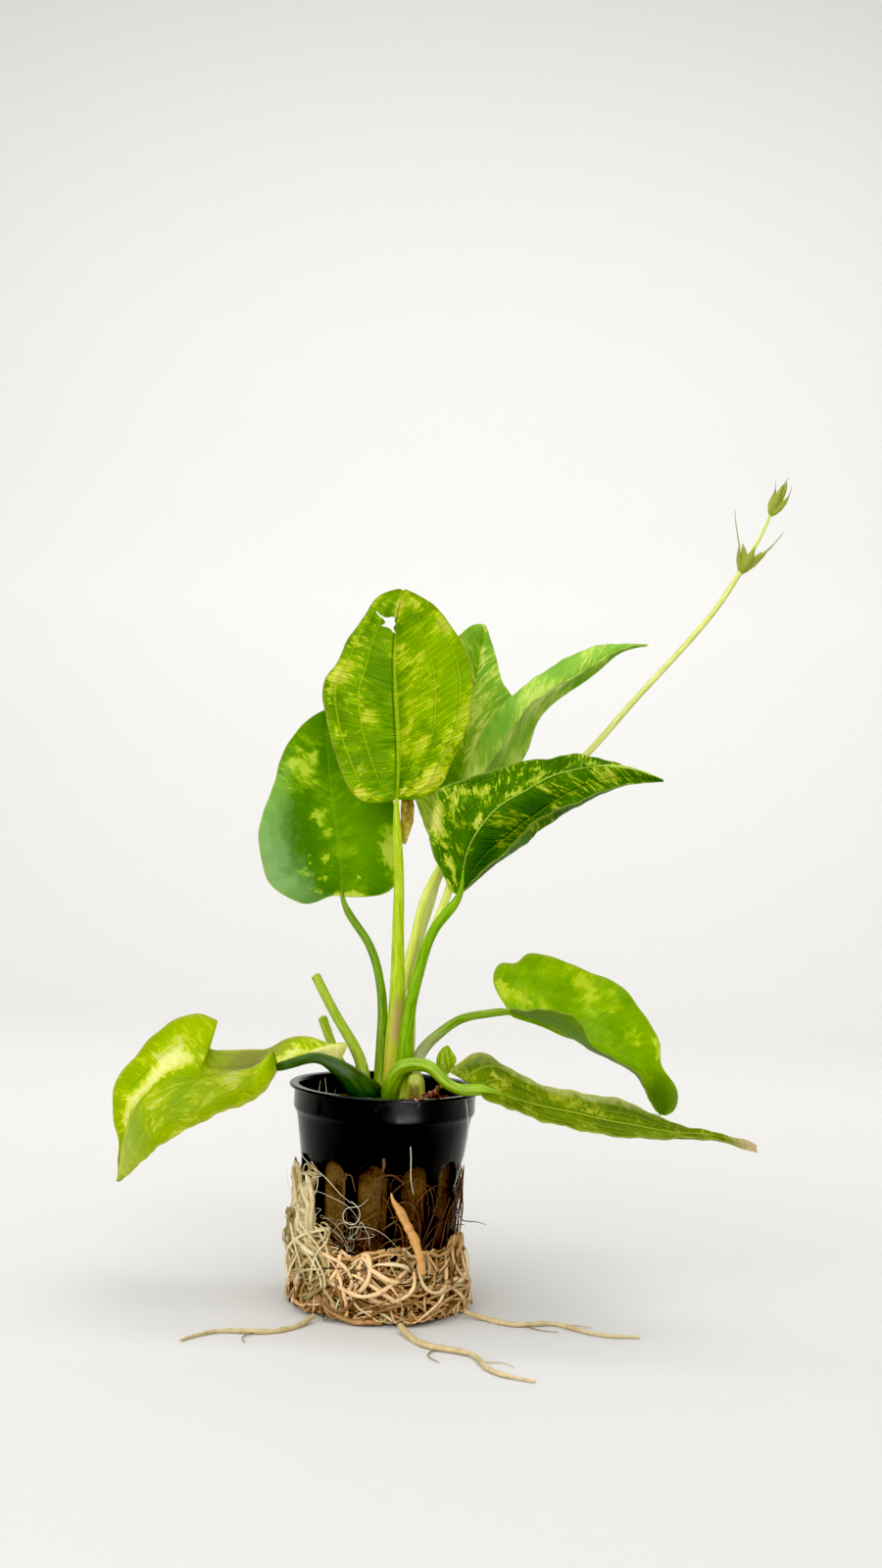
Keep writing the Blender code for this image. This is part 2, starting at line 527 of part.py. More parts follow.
def lathe(profile: list[tuple[float, float]], segments: int):
    """Turns a profile of (radius, height) around Z into a closed solid; radius 0 is a pole."""
    vertices = []
    rings = []
    for radius, height in profile:
        if radius == 0:
            rings.append([len(vertices)])
            vertices.append((0.0, 0.0, height))
            continue
        rings.append(list(range(len(vertices), len(vertices) + segments)))
        for segment in range(segments):
            angle = 2 * math.pi * segment / segments
            vertices.append((radius * math.cos(angle), radius * math.sin(angle), height))
    faces = []
    for lower, upper in zip(rings, rings[1:]):
        for segment in range(segments):
            following = (segment + 1) % segments
            corners = [lower[segment % len(lower)], lower[following % len(lower)],
                       upper[following % len(upper)], upper[segment % len(upper)]]
            face = tuple(dict.fromkeys(corners))
            faces.append(face)
    return vertices, faces


def pot_outer_radius(height: float) -> float:
    """The outside radius of the pot's slotted wall at a height, in millimetres."""
    heights = [0, POT_BODY_HEIGHT, POT_SHOULDER_HEIGHT, POT_COLLAR_BOTTOM]
    radii = [POT_BASE_RADIUS, POT_BODY_RADIUS, POT_SHOULDER_RADIUS, POT_COLLAR_RADIUS]
    return float(np.interp(height, heights, radii))


def slot_cutter() -> bpy.types.Object:
    """Makes the round-topped prisms for the wall's slots and the bars for the floor's drains."""
    shape = bmesh.new()
    half = SLOT_WIDTH / 2
    outline = [(-half, SLOT_BOTTOM), (half, SLOT_BOTTOM), (half, SLOT_TOP - half)]
    for step in range(1, 6):
        angle = math.pi * step / 6
        outline.append((half * math.cos(angle), SLOT_TOP - half + half * math.sin(angle)))
    outline.append((-half, SLOT_TOP - half))
    for number in range(SLOT_COUNT):
        turn = math.radians(-90 + SLOT_TURN_DEG + number * 360 / SLOT_COUNT)
        outwards = Vector((math.cos(turn), math.sin(turn), 0))
        sideways = Vector((-math.sin(turn), math.cos(turn), 0))
        rings = []
        for reach in (15.0, POT_FLANGE_RADIUS + 5):
            rings.append([shape.verts.new((outwards * reach + sideways * x + Vector((0, 0, z))) * MM)
                          for x, z in outline])
        close_prism(shape, rings[0], rings[1])
    for number in range(DRAIN_COUNT):
        turn = 2 * math.pi * (number + 0.5) / DRAIN_COUNT
        outwards = Vector((math.cos(turn), math.sin(turn), 0))
        sideways = Vector((-math.sin(turn), math.cos(turn), 0))
        rings = []
        for height in (-1.0, 2 * POT_FLOOR):
            corners = ((DRAIN_INNER_RADIUS, -1), (DRAIN_OUTER_RADIUS, -1), (DRAIN_OUTER_RADIUS, 1),
                       (DRAIN_INNER_RADIUS, 1))
            rings.append([shape.verts.new((outwards * reach + sideways * side * DRAIN_WIDTH / 2
                                           + Vector((0, 0, height))) * MM) for reach, side in corners])
        close_prism(shape, rings[0], rings[1])
    bmesh.ops.recalc_face_normals(shape, faces=shape.faces)
    mesh = bpy.data.meshes.new("slot_cutter")
    shape.to_mesh(mesh)
    shape.free()
    cutter = bpy.data.objects.new("slot_cutter", mesh)
    bpy.context.scene.collection.objects.link(cutter)
    cutter.hide_render = True
    cutter.display_type = "WIRE"
    return cutter


def close_prism(shape: bmesh.types.BMesh, near, far) -> None:
    """Closes a prism between two rings of vertices."""
    shape.faces.new(near)
    shape.faces.new(list(reversed(far)))
    for index in range(len(near)):
        following = (index + 1) % len(near)
        shape.faces.new((near[following], near[index], far[index], far[following]))


def build_pot() -> None:
    """Builds the net pot: a tapered wall with tall slots, a collar, a flange and a drained floor."""
    profile = [
        (0, 0), (POT_BASE_RADIUS - 0.6, 0), (POT_BASE_RADIUS, 0.6), (POT_BODY_RADIUS, POT_BODY_HEIGHT),
        (POT_SHOULDER_RADIUS, POT_SHOULDER_HEIGHT),
        *((POT_COLLAR_RADIUS + inwards, POT_COLLAR_BOTTOM + down) for inwards, down in POT_COLLAR_CURVE),
        (POT_COLLAR_RADIUS, POT_COLLAR_BOTTOM), (POT_COLLAR_RADIUS, POT_FLANGE_BOTTOM),
        (POT_FLANGE_RADIUS, POT_FLANGE_BOTTOM), (POT_FLANGE_RADIUS, POT_TOP), (22.9, POT_TOP),
        (22.4, 55.4), (22.35, 50.4), (21.25, POT_SHOULDER_HEIGHT), (20.0, POT_BODY_HEIGHT),
        (POT_BASE_RADIUS - POT_WALL, POT_FLOOR), (0, POT_FLOOR),
    ]
    vertices, faces = lathe(profile, POT_SEGMENTS)
    pot = add_solid("net_pot", vertices, faces, (0.012, 0.012, 0.014), 0.3, 30.0)
    slots = pot.modifiers.new("Slots", "BOOLEAN")
    slots.operation = "DIFFERENCE"
    slots.solver = "EXACT"
    slots.object = slot_cutter()


def lumpy_round(profile, segments: int, centre, stretch, lump: float, grain: float, seed: float):
    """A lathed solid whose sides are pushed in by noise, so it never leaves its profile."""
    vertices, faces = lathe(profile, segments)
    pushed = []
    for x, y, z in vertices:
        dent = 0.5 + 0.5 * noise.noise(Vector((x, y, z)) * grain + Vector((seed, 0, 0)))
        radius = math.hypot(x, y)
        inwards = 1 - lump * dent / radius if radius > 2 * lump else 1.0
        top = z == profile[-1][1] or z == profile[-2][1]
        pushed.append((centre[0] + x * stretch[0] * inwards, centre[1] + y * stretch[1] * inwards,
                       z - (lump * dent if top else 0)))
    return pushed, faces


def build_wool() -> None:
    """Builds the block of mineral wool that fills the pot."""
    inner = POT_BASE_RADIUS - POT_WALL - WOOL_CLEARANCE
    profile = [
        (0, POT_FLOOR + GAP), (inner - 1, POT_FLOOR + GAP), (inner, POT_FLOOR + 1.5), (18.4, 20), (19.55, 37),
        (20.8, 46), (21.6, 48.4), (19.5, WOOL_TOP), (12.0, WOOL_TOP), (0, WOOL_TOP),
    ]
    vertices, faces = lumpy_round(profile, 24, (0, 0), (1, 1), 0.5, 0.35, 3.0)
    add_solid("wool_plug", vertices, faces, (0.10, 0.05, 0.02), 0.95)


def build_crown() -> None:
    """Builds the low, flat-topped crown that the stalks rise from."""
    profile = [(0, CROWN_BOTTOM), (0.92, CROWN_BOTTOM), (1.0, 51.2), (0.98, 52.6), (0.9, CROWN_TOP),
               (0, CROWN_TOP)]
    scaled = [(radius * 10, height) for radius, height in profile]
    stretch = (CROWN_RADII[0] / 10, CROWN_RADII[1] / 10)
    vertices, faces = lumpy_round(scaled, 20, CROWN_CENTRE, stretch, 0.35, 0.5, 8.0)
    add_solid("crown", vertices, faces, (0.38, 0.40, 0.12), 0.7)


def build_root_mat() -> None:
    """Builds the tangle of roots around the foot of the pot as one lumpy band."""
    segments = 32
    vertices = []
    for segment in range(segments):
        angle = 2 * math.pi * segment / segments
        place = Vector((math.cos(angle), math.sin(angle), 0))
        swell = noise.noise(place * 2.2 + Vector((5, 1, 0)))
        ripple = noise.noise(place * 7 + Vector((2, 9, 0)))
        front = max(0.0, math.cos(angle - math.radians(ROOT_MAT_FRONT_DEG)))
        thick = ROOT_MAT_THICKNESS + ROOT_MAT_FRONT_EXTRA[0] * front + 1.2 * swell + 0.6 * ripple
        height = ROOT_MAT_HEIGHT + ROOT_MAT_FRONT_EXTRA[1] * front + 3.0 * swell + 1.5 * ripple
        section = [(0, ROOT_MAT_FLOOR), (0, height * 0.5), (0, height), (thick * 0.45, height * 0.92),
                   (thick * 0.9, height * 0.55), (thick * 1.25, height * 0.2), (thick * 1.1, ROOT_MAT_FLOOR)]
        for reach, z in section:
            radius = pot_outer_radius(z) + ROOT_MAT_CLEARANCE + reach
            vertices.append((radius * place.x, radius * place.y, z))
    count = len(section)
    faces = []
    for segment in range(segments):
        following = (segment + 1) % segments
        for index in range(count):
            after = (index + 1) % count
            faces.append((segment * count + index, following * count + index, following * count + after,
                          segment * count + after))
    add_solid("root_mat", vertices, faces, (0.30, 0.17, 0.06), 0.9)


def build_pale_roots() -> None:
    """Builds the bundle of pale roots that has grown out through the slots on the left."""
    first, last, steps = math.radians(PALE_ROOTS_FROM_DEG), math.radians(PALE_ROOTS_TO_DEG), 8
    levels = PALE_ROOTS_LEVELS
    inner = []
    outer = []
    for level, (z, thick) in enumerate(levels):
        for step in range(steps + 1):
            share = step / steps
            angle = first + (last - first) * share
            taper = math.sin(math.pi * (0.12 + 0.76 * share))
            lump = 1 + 0.3 * noise.noise(Vector((angle * 6, z * 0.4, 4)))
            drop = 1.5 * noise.noise(Vector((angle * 3, level, 1)))
            base = pot_outer_radius(z + drop) + 0.4
            inner.append((base * math.cos(angle), base * math.sin(angle), z + drop))
            reach = base + 0.4 + thick * taper * lump
            outer.append((reach * math.cos(angle), reach * math.sin(angle), z + drop))
    faces = two_sided_faces(len(levels), steps + 1)
    add_solid("pale_root_bundle", inner + outer, faces, ROOT_CREAM, 0.8)


def build_withered_lobe() -> None:
    """Builds the small dried flap beside the top leaf's stalk, under its blade."""
    near = smooth_route([(2.2, -4.4, 129.2), (2.4, -4.3, 125), (2.5, -4.4, 120.8)], 5)
    far = smooth_route([(3.7, -3, 129.2), (4.6, -2.8, 125), (3.3, -3.8, 120.4)], 5)
    grid = np.stack([near, (near + far) / 2 + np.array([0, -0.3, 0]), far], axis=1)
    vertices, faces = thick_sheet(grid, 0.5)
    add_solid("withered_lobe", vertices, faces, (0.32, 0.18, 0.05), 0.8)


def main() -> None:
    """Builds the pot, the plant and its roots."""
    clear_scene()
    build_pot()
    build_wool()
    build_crown()
    for leaf in LEAVES:
        build_leaf(leaf)
    build_withered_lobe()
    for stem in STEMS:
        build_stem(stem)
    build_root_mat()
    build_pale_roots()


main()
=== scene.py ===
"""Looks of a young variegated amazon sword plant (echinodorus) in its black net pot.

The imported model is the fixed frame. Each class below builds one sub-assembly around it: the net
pot, its mineral wool, the leaves, the flower stem, the roots and the studio.
Routes are in millimetres, as in the part's source, and MM turns them into metres.
"""

import logging
import math
from dataclasses import dataclass, field
from enum import Enum

import bpy
import numpy as np
from mathutils import Matrix, Vector, noise

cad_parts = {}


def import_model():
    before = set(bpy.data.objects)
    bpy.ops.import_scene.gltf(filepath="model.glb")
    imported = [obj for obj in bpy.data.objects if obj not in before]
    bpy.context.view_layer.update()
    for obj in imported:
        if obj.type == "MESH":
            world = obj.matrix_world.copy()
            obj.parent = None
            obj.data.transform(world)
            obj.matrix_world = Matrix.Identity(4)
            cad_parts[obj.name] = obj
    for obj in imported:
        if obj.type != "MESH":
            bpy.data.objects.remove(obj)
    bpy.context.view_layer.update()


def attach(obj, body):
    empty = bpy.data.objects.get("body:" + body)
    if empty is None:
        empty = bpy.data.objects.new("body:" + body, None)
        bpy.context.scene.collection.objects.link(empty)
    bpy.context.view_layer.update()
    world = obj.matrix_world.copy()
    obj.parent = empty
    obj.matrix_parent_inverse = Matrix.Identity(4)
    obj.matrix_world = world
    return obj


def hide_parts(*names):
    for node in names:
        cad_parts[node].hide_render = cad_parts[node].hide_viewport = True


log = logging.getLogger("sword_plant")

MM = 0.001
BODY = "root"
# Pattern maps: VEINS runs across and along a blade from 0 to 1, METRES has its real lengths
VEINS = "veins"
METRES = "metres"
FULL_TURN = 2 * math.pi
# Noise vectors take new offsets in each run unless they are seeded
NOISE_SEED = 4

Point = tuple[float, float, float]
Colour = tuple[float, float, float, float]
Face = tuple[int, ...]
Socket = bpy.types.NodeSocket


# Shared geometry


def linear(hex_colour: str) -> Colour:
    """Turns an sRGB hex colour such as "7ea607" into Blender's linear colour.

    Args:
        hex_colour: Six hex digits.

    Returns:
        Red, green, blue and alpha, linear.
    """
    values = [int(hex_colour[start:start + 2], 16) / 255 for start in (0, 2, 4)]
    turned = [value / 12.92 if value <= 0.04045 else ((value + 0.055) / 1.055) ** 2.4 for value in values]
    return (turned[0], turned[1], turned[2], 1.0)


def unit(vectors: np.ndarray) -> np.ndarray:
    """Scales vectors along the last axis to length one."""
    return vectors / np.maximum(np.linalg.norm(vectors, axis=-1, keepdims=True), 1e-9)


def walked(points: np.ndarray) -> np.ndarray:
    """How far along a line of points each of them lies."""
    return np.concatenate([[0.0], np.cumsum(np.linalg.norm(np.diff(points, axis=0), axis=1))])


def smooth_route(points: list[Point] | np.ndarray, count: int) -> np.ndarray:
    """Follows the natural cubic curve through the given points.

    Args:
        points: The points of the route.
        count: How many evenly spaced points to return.

    Returns:
        The points of the curve, one row each.
    """
    places = np.array(points, float)
    steps = np.linalg.norm(np.diff(places, axis=0), axis=1)
    knots = walked(places)
    last = len(places) - 1
    system = np.eye(last + 1)
    sides = np.zeros((last + 1, 3))
    for i in range(1, last):
        system[i, i - 1:i + 2] = steps[i - 1], 2 * (steps[i - 1] + steps[i]), steps[i]
        sides[i] = 6 * ((places[i + 1] - places[i]) / steps[i] - (places[i] - places[i - 1]) / steps[i - 1])
    bends = np.linalg.solve(system, sides)
    fine = np.linspace(0, knots[-1], max(400, 3 * count))
    index = np.clip(np.searchsorted(knots, fine, side="right") - 1, 0, last - 1)
    step = steps[index][:, None]
    before = (knots[index + 1] - fine)[:, None] / step
    after = 1 - before
    curve = before * places[index] + after * places[index + 1]
    curve += ((before**3 - before) * bends[index] + (after**3 - after) * bends[index + 1]) * step**2 / 6
    far = walked(curve)
    wanted = np.linspace(0, far[-1], count)
    return np.stack([np.interp(wanted, far, curve[:, axis]) for axis in range(3)], axis=1)


def along(curve: np.ndarray, shares: np.ndarray) -> np.ndarray:
    """Finds the points at shares (0 to 1) of an evenly spaced curve's length."""
    own = np.linspace(0, 1, len(curve))
    return np.stack([np.interp(shares, own, curve[:, axis]) for axis in range(3)], axis=1)


def profiled(radius: float, count: int, places: list[float] | np.ndarray, shares: list[float]) -> np.ndarray:
    """Radii of so many rings, as shares of one radius given at some places from 0 to 1."""
    return radius * np.interp(np.linspace(0, 1, count), places, shares)


def around(angle: float, reach: float = 1.0, height: float = 0.0) -> np.ndarray:
    """The point at an angle and a distance from the upright axis."""
    return np.array([reach * math.cos(angle), reach * math.sin(angle), height])


def prism_faces(count: int) -> list[Face]:
    """Faces of a closed prism between two rings of so many points.

    Args:
        count: How many points each ring has.

    Returns:
        The two ends and the sides.
    """
    faces: list[Face] = [tuple(range(count)), tuple(range(2 * count - 1, count - 1, -1))]
    for index in range(count):
        following = (index + 1) % count
        faces.append((following, index, index + count, following + count))
    return faces


def link(name: str, data: bpy.types.ID) -> bpy.types.Object:
    """Makes an object and links it to the scene.

    Args:
        name: Its name.
        data: Its mesh, light or camera.

    Returns:
        The object.
    """
    made = bpy.data.objects.new(name, data)
    bpy.context.scene.collection.objects.link(made)
    return made


@dataclass
class Shape:
    """A mesh that is being built, in millimetres."""

    vertices: list[np.ndarray] = field(default_factory=list)
    faces: list[Face] = field(default_factory=list)
    slots: list[int] = field(default_factory=list)
    maps: dict[str, list[tuple[float, float]]] = field(default_factory=dict)
    count: int = 0

    def add(self, vertices: np.ndarray, faces: list[Face], maps: dict[str, list] | None = None, slot: int = 0) -> None:
        """Adds a closed body, turning its faces outwards.

        Args:
            vertices: The body's points.
            faces: Its faces, by index into those points.
            maps: For each map, one (u, v) pair for each corner of each face.
            slot: The index of its finish.
        """
        corners = np.array([(face[0], face[i], face[i + 1]) for face in faces for i in range(1, len(face) - 1)])
        a, b, c = (vertices[corners[:, i]] for i in range(3))
        inside_out = np.einsum("ij,ij->", a - vertices.mean(0), np.cross(b - a, c - a)) < 0
        starts = np.concatenate([[0], np.cumsum([len(face) for face in faces])])
        for number, face in enumerate(faces):
            order = range(len(face) - 1, -1, -1) if inside_out else range(len(face))
            self.faces.append(tuple(face[i] + self.count for i in order))
            for name in (VEINS, METRES):
                pairs = (maps or {}).get(name)
                own = (pairs[starts[number] + i] if pairs else (0.5, 0.0) for i in order)
                self.maps.setdefault(name, []).extend(own)
        self.slots.extend([slot] * len(faces))
        self.vertices.append(vertices)
        self.count += len(vertices)

    def make(self, name: str, sharp_deg: float = 60.0) -> bpy.types.Object:
        """Makes the object and links it to the scene.

        Args:
            name: The piece's name.
            sharp_deg: Edges above this angle stay sharp.

        Returns:
            The new object.
        """
        mesh = bpy.data.meshes.new(name)
        mesh.from_pydata((np.vstack(self.vertices) * MM).tolist(), [], self.faces)
        for map_name, pairs in self.maps.items():
            layer = mesh.uv_layers.new(name=map_name)
            layer.data.foreach_set("uv", np.array(pairs, np.float32).ravel())
        mesh.polygons.foreach_set("material_index", self.slots)
        mesh.shade_smooth()
        mesh.set_sharp_from_angle(angle=math.radians(sharp_deg))
        return link(name, mesh)


def settle(piece: bpy.types.Object, slot: str, nodes: tuple[str, ...], *finishes: bpy.types.Material) -> None:
    """Dresses a piece, puts it on the body and lets it stand for its solids.

    Args:
        piece: The piece.
        slot: The record's material slot; not used.
        nodes: The solids that it stands for.
        *finishes: Its materials, in slot order.
    """
    piece.data.materials.clear()
    for finish in finishes:
        piece.data.materials.append(finish)
    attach(piece, BODY)
    if nodes:
        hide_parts(*nodes)
    log.info("%s: %d faces, stands for %s", piece.name, len(piece.data.polygons), ", ".join(nodes) or "no solid")


def swept(curve: np.ndarray, radii: np.ndarray, sides: int, ribs: int = 0, rib_depth: float = 0.0,
          flat: float = 1.0, shade: float = 0.0) -> tuple[np.ndarray, list, dict]:
    """Sweeps a round or ribbed section along a curve, with rounded ends.

    Args:
        curve: The centre line.
        radii: The radius at each of its points.
        sides: How many sides the section has.
        ribs: How many lengthwise ridges it has.
        rib_depth: The ridges' height as a share of the radius.
        flat: The section's depth as a share of its width.
        shade: A value from 0 to 1 that tells this tube from others, kept in the VEINS map.

    Returns:
        Vertices, faces and maps, ready for Shape.add.
    """
    forward = unit(np.gradient(curve, axis=0))
    across = unit(np.cross(forward[0], (0.0, 1.0, 0.0)) + np.array([1e-6, 0, 0]))
    angles = FULL_TURN * np.arange(sides) / sides
    section = 1 + rib_depth * np.cos(ribs * angles)
    far = walked(curve)
    rings = []
    for centre, direction, radius in zip(curve, forward, radii):
        across = unit(across - direction * np.dot(across, direction))
        other = np.cross(direction, across)
        reach = radius * section
        rings.append(centre + (reach * np.cos(angles))[:, None] * across
                     + (flat * reach * np.sin(angles))[:, None] * other)
    vertices = np.vstack(rings + [curve[:1] - 0.5 * radii[0] * forward[:1],
                                  curve[-1:] + 0.5 * radii[-1] * forward[-1:]])
    count = len(curve)
    faces = []
    corners = []
    for ring in range(count - 1):
        for side in range(sides):
            following = (side + 1) % sides
            base = ring * sides
            faces.append((base + side, base + following, base + sides + following, base + sides + side))
            corners += [(side, ring), (side + 1, ring), (side + 1, ring + 1), (side, ring + 1)]
    last = (count - 1) * sides
    for side in range(sides):
        following = (side + 1) % sides
        faces += [(len(vertices) - 2, following, side), (len(vertices) - 1, last + side, last + following)]
        corners += [(side, 0), (side + 1, 0), (side, 0), (side, count), (side, count), (side + 1, count)]
    veins = [(shade, side / sides) for side, _ in corners]
    metres = [(side / sides * FULL_TURN * radii[min(ring, count - 1)] * MM, far[min(ring, count - 1)] * MM)
              for side, ring in corners]
    return vertices, faces, {VEINS: veins, METRES: metres}


# Finishes


def per_metre(size_mm: float) -> float:
    """The scale of a pattern whose features are this many millimetres apart."""
    return 1 / (size_mm * MM)


@dataclass
class Graph:
    """A node tree. Each method adds one node; an input is a socket, a value or a hex colour."""

    tree: bpy.types.NodeTree

    def add(self, kind: str, inputs: dict | None = None, **settings) -> bpy.types.Node:
        """Adds a node with its settings and its links.

        Args:
            kind: The node's type.
            inputs: For each input, by name or number, what feeds it.
            **settings: The node's own settings.

        Returns:
            The node.
        """
        node = self.tree.nodes.new("ShaderNode" + kind)
        for name, value in settings.items():
            setattr(node, name, value)
        for name, value in (inputs or {}).items():
            if isinstance(value, Socket):
                self.tree.links.new(value, node.inputs[name])
            else:
                node.inputs[name].default_value = linear(value) if isinstance(value, str) else value
        return node

    def uv(self, name: str) -> Socket:
        """The place on one of the pattern maps."""
        return self.add("UVMap", uv_map=name).outputs[0]

    def place(self) -> Socket:
        """The place in the object, in metres."""
        return self.add("TexCoord").outputs["Object"]

    def math(self, operation: str, *values: Socket | float, clamp: bool = False) -> Socket:
        """Works out a number from up to three others."""
        return self.add("Math", dict(enumerate(values)), operation=operation, use_clamp=clamp).outputs[0]

    def grow(self, value: Socket, factor: Socket | float, base: Socket | float) -> Socket:
        """Multiplies a value and adds to it."""
        return self.math("MULTIPLY_ADD", value, factor, base)

    def span(self, value: Socket, start: float, end: float, low: float = 0.0, high: float = 1.0,
             kind: str = "LINEAR") -> Socket:
        """Maps a span of values onto another and clamps it."""
        spans = {"Value": value, "From Min": start, "From Max": end, "To Min": low, "To Max": high}
        return self.add("MapRange", spans, interpolation_type=kind).outputs[0]

    def ease(self, value: Socket, start: float, end: float, high: float = 1.0) -> Socket:
        """Maps a span of values onto 0 to high, with soft ends."""
        return self.span(value, start, end, 0.0, high, "SMOOTHSTEP")

    def noise(self, place: Socket, scale: float, detail: float, roughness: float = 0.5, distortion: float = 0.0,
              output: str | int = 0) -> Socket:
        """Cloudy noise, as a number unless its colour is asked for."""
        inputs = {"Vector": place, "Scale": scale, "Detail": detail, "Roughness": roughness, "Distortion": distortion}
        return self.add("TexNoise", inputs).outputs[output]

    def mix(self, share: Socket, first: Socket | str, second: Socket | str) -> Socket:
        """Mixes two colours."""
        return self.add("Mix", {0: share, 6: first, 7: second}, data_type="RGBA").outputs[2]

    def choose(self, share: Socket, first: Socket, second: Socket) -> Socket:
        """Mixes two numbers."""
        return self.add("Mix", {0: share, 2: first, 3: second}).outputs[0]

    def vector(self, *parts: Socket) -> Socket:
        """Joins numbers into a vector."""
        return self.add("CombineXYZ", dict(enumerate(parts))).outputs[0]

    def split(self, vector: Socket) -> bpy.types.bpy_prop_collection:
        """Takes a vector apart into three numbers."""
        return self.add("SeparateXYZ", {0: vector}).outputs

    def move(self, vector: Socket, by: Socket | Point, operation: str = "ADD") -> Socket:
        """Adds to a vector, or multiplies it part by part."""
        return self.add("VectorMath", {0: vector, 1: by}, operation=operation).outputs[0]

    def ramp(self, value: Socket, *stops: tuple[float, str]) -> Socket:
        """Colours a value.

        Args:
            value: The value.
            *stops: The ramp's (place, hex colour) pairs.

        Returns:
            The colour.
        """
        node = self.add("ValToRGB", {0: value})
        elements = node.color_ramp.elements
        while len(elements) < len(stops):
            elements.new(1.0)
        for element, (place, colour) in zip(elements, stops):
            element.position = place
            element.color = linear(colour)
        return node.outputs[0]

    def bump(self, height: Socket, depth_mm: float, strength: float) -> Socket:
        """A normal with this relief."""
        return self.add("Bump", {"Height": height, "Distance": depth_mm * MM, "Strength": strength}).outputs[0]

    def body(self, colour: Socket, roughness: Socket | float, **inputs: Socket | float) -> Socket:
        """The main shader; an input's name has underscores for its spaces."""
        named = {name.replace("_", " "): value for name, value in inputs.items()}
        return self.add("BsdfPrincipled", {"Base Color": colour, "Roughness": roughness, **named}).outputs[0]


class Finish:
    """A finish that makes materials. Each kind paints its own nodes."""

    def material(self, name: str) -> bpy.types.Material:
        """Makes the finish.

        Args:
            name: The material's name.

        Returns:
            The material.
        """
        made = bpy.data.materials.new(name)
        made.use_nodes = True
        net = Graph(made.node_tree)
        net.tree.nodes.clear()
        output = net.add("OutputMaterial")
        net.tree.links.new(self.paint(net), output.inputs[0])
        return made

    def paint(self, net: Graph) -> Socket:
        """Adds the finish's nodes and returns its shader."""
        raise NotImplementedError


class Side(Enum):
    """The two faces of a blade: its veins are sunken above and stand out below."""

    UPPER = -1.0
    UNDER = 1.0


@dataclass(frozen=True)
class Patch:
    """A pale or tinted area of a blade, where some tints are painted light, sheen or shade: its middle across (-1 to
    1) and along (0 to 1), and its reach.
    """

    across: float
    along: float
    reach_across: float
    reach_along: float
    strength: float = 0.34
    # A tint of its own instead of more flecks: the leaf's own colour, or on some blades painted light, sheen or shade
    tint: str = ""

    def nearness(self, net: Graph, place: Socket) -> Socket:
        """How near a place is to the middle, from 1 there down to 0.

        Args:
            net: The node tree.
            place: The place on the VEINS map.

        Returns:
            The nearness.
        """
        reach = (0.5 * self.reach_across, self.reach_along)
        moved = net.add("Mapping", {
            "Vector": place, "Scale": (1 / reach[0], 1 / reach[1], 0.0),
            "Location": (-(self.across + 1) / 2 / reach[0], -self.along / reach[1], 0.0)}).outputs[0]
        far = net.add("VectorMath", {0: moved}, operation="LENGTH").outputs["Value"]
        return net.ease(far, 1.25, 0.1)


@dataclass(frozen=True)
class LeafTissue:
    """Living variegated leaf: waxy above, matt below, and a little light comes through it.

    The eye sees a satin green broken by ragged lime and cream flecks that keep to the veins.
    """

    green: str
    deep: str
    lime: str
    yellow: str
    cream: str
    vein: str
    edge: str = "9aa83a"
    # Share of the blade that flecks cover outside the stated patches
    cover: float = 0.35
    contrast: float = 1.0
    roughness: float = 0.42
    vein_show: float = 0.5
    # The dry tip starts at this share of the length
    dry_from: float = 2.0
    dry: str = "c5b384"
    glow: float = 0.25
    # How much of a waxy surface's full reflection the blade has
    sheen: float = 0.22
    # How steeply the cross veins rise outwards, and how much more on the left margin's side
    rise: float = 0.36
    lean: float = 0.0
    # How blurred the flecks' borders are, and how strong their grain is
    softness: float = 0.04
    grain: float = 1.0
    midrib_show: float = 0.6
    # Half width of the midrib's line at the base, in millimetres
    midrib: float = 1.5
    # How strongly the veins stand out as relief
    relief: float = 0.8
    # Painted shade: how dark the groove along one side of the midrib is painted in the shade colour, and the furrows
    # between the cross veins in the deep green
    groove_shade: float = 0.0
    furrow_shade: float = 0.25
    shade: str = "345c06"
    # From this share across on (-1 to 1) the flecks and fine veins run along the blade
    lengthwise: float = 2.0


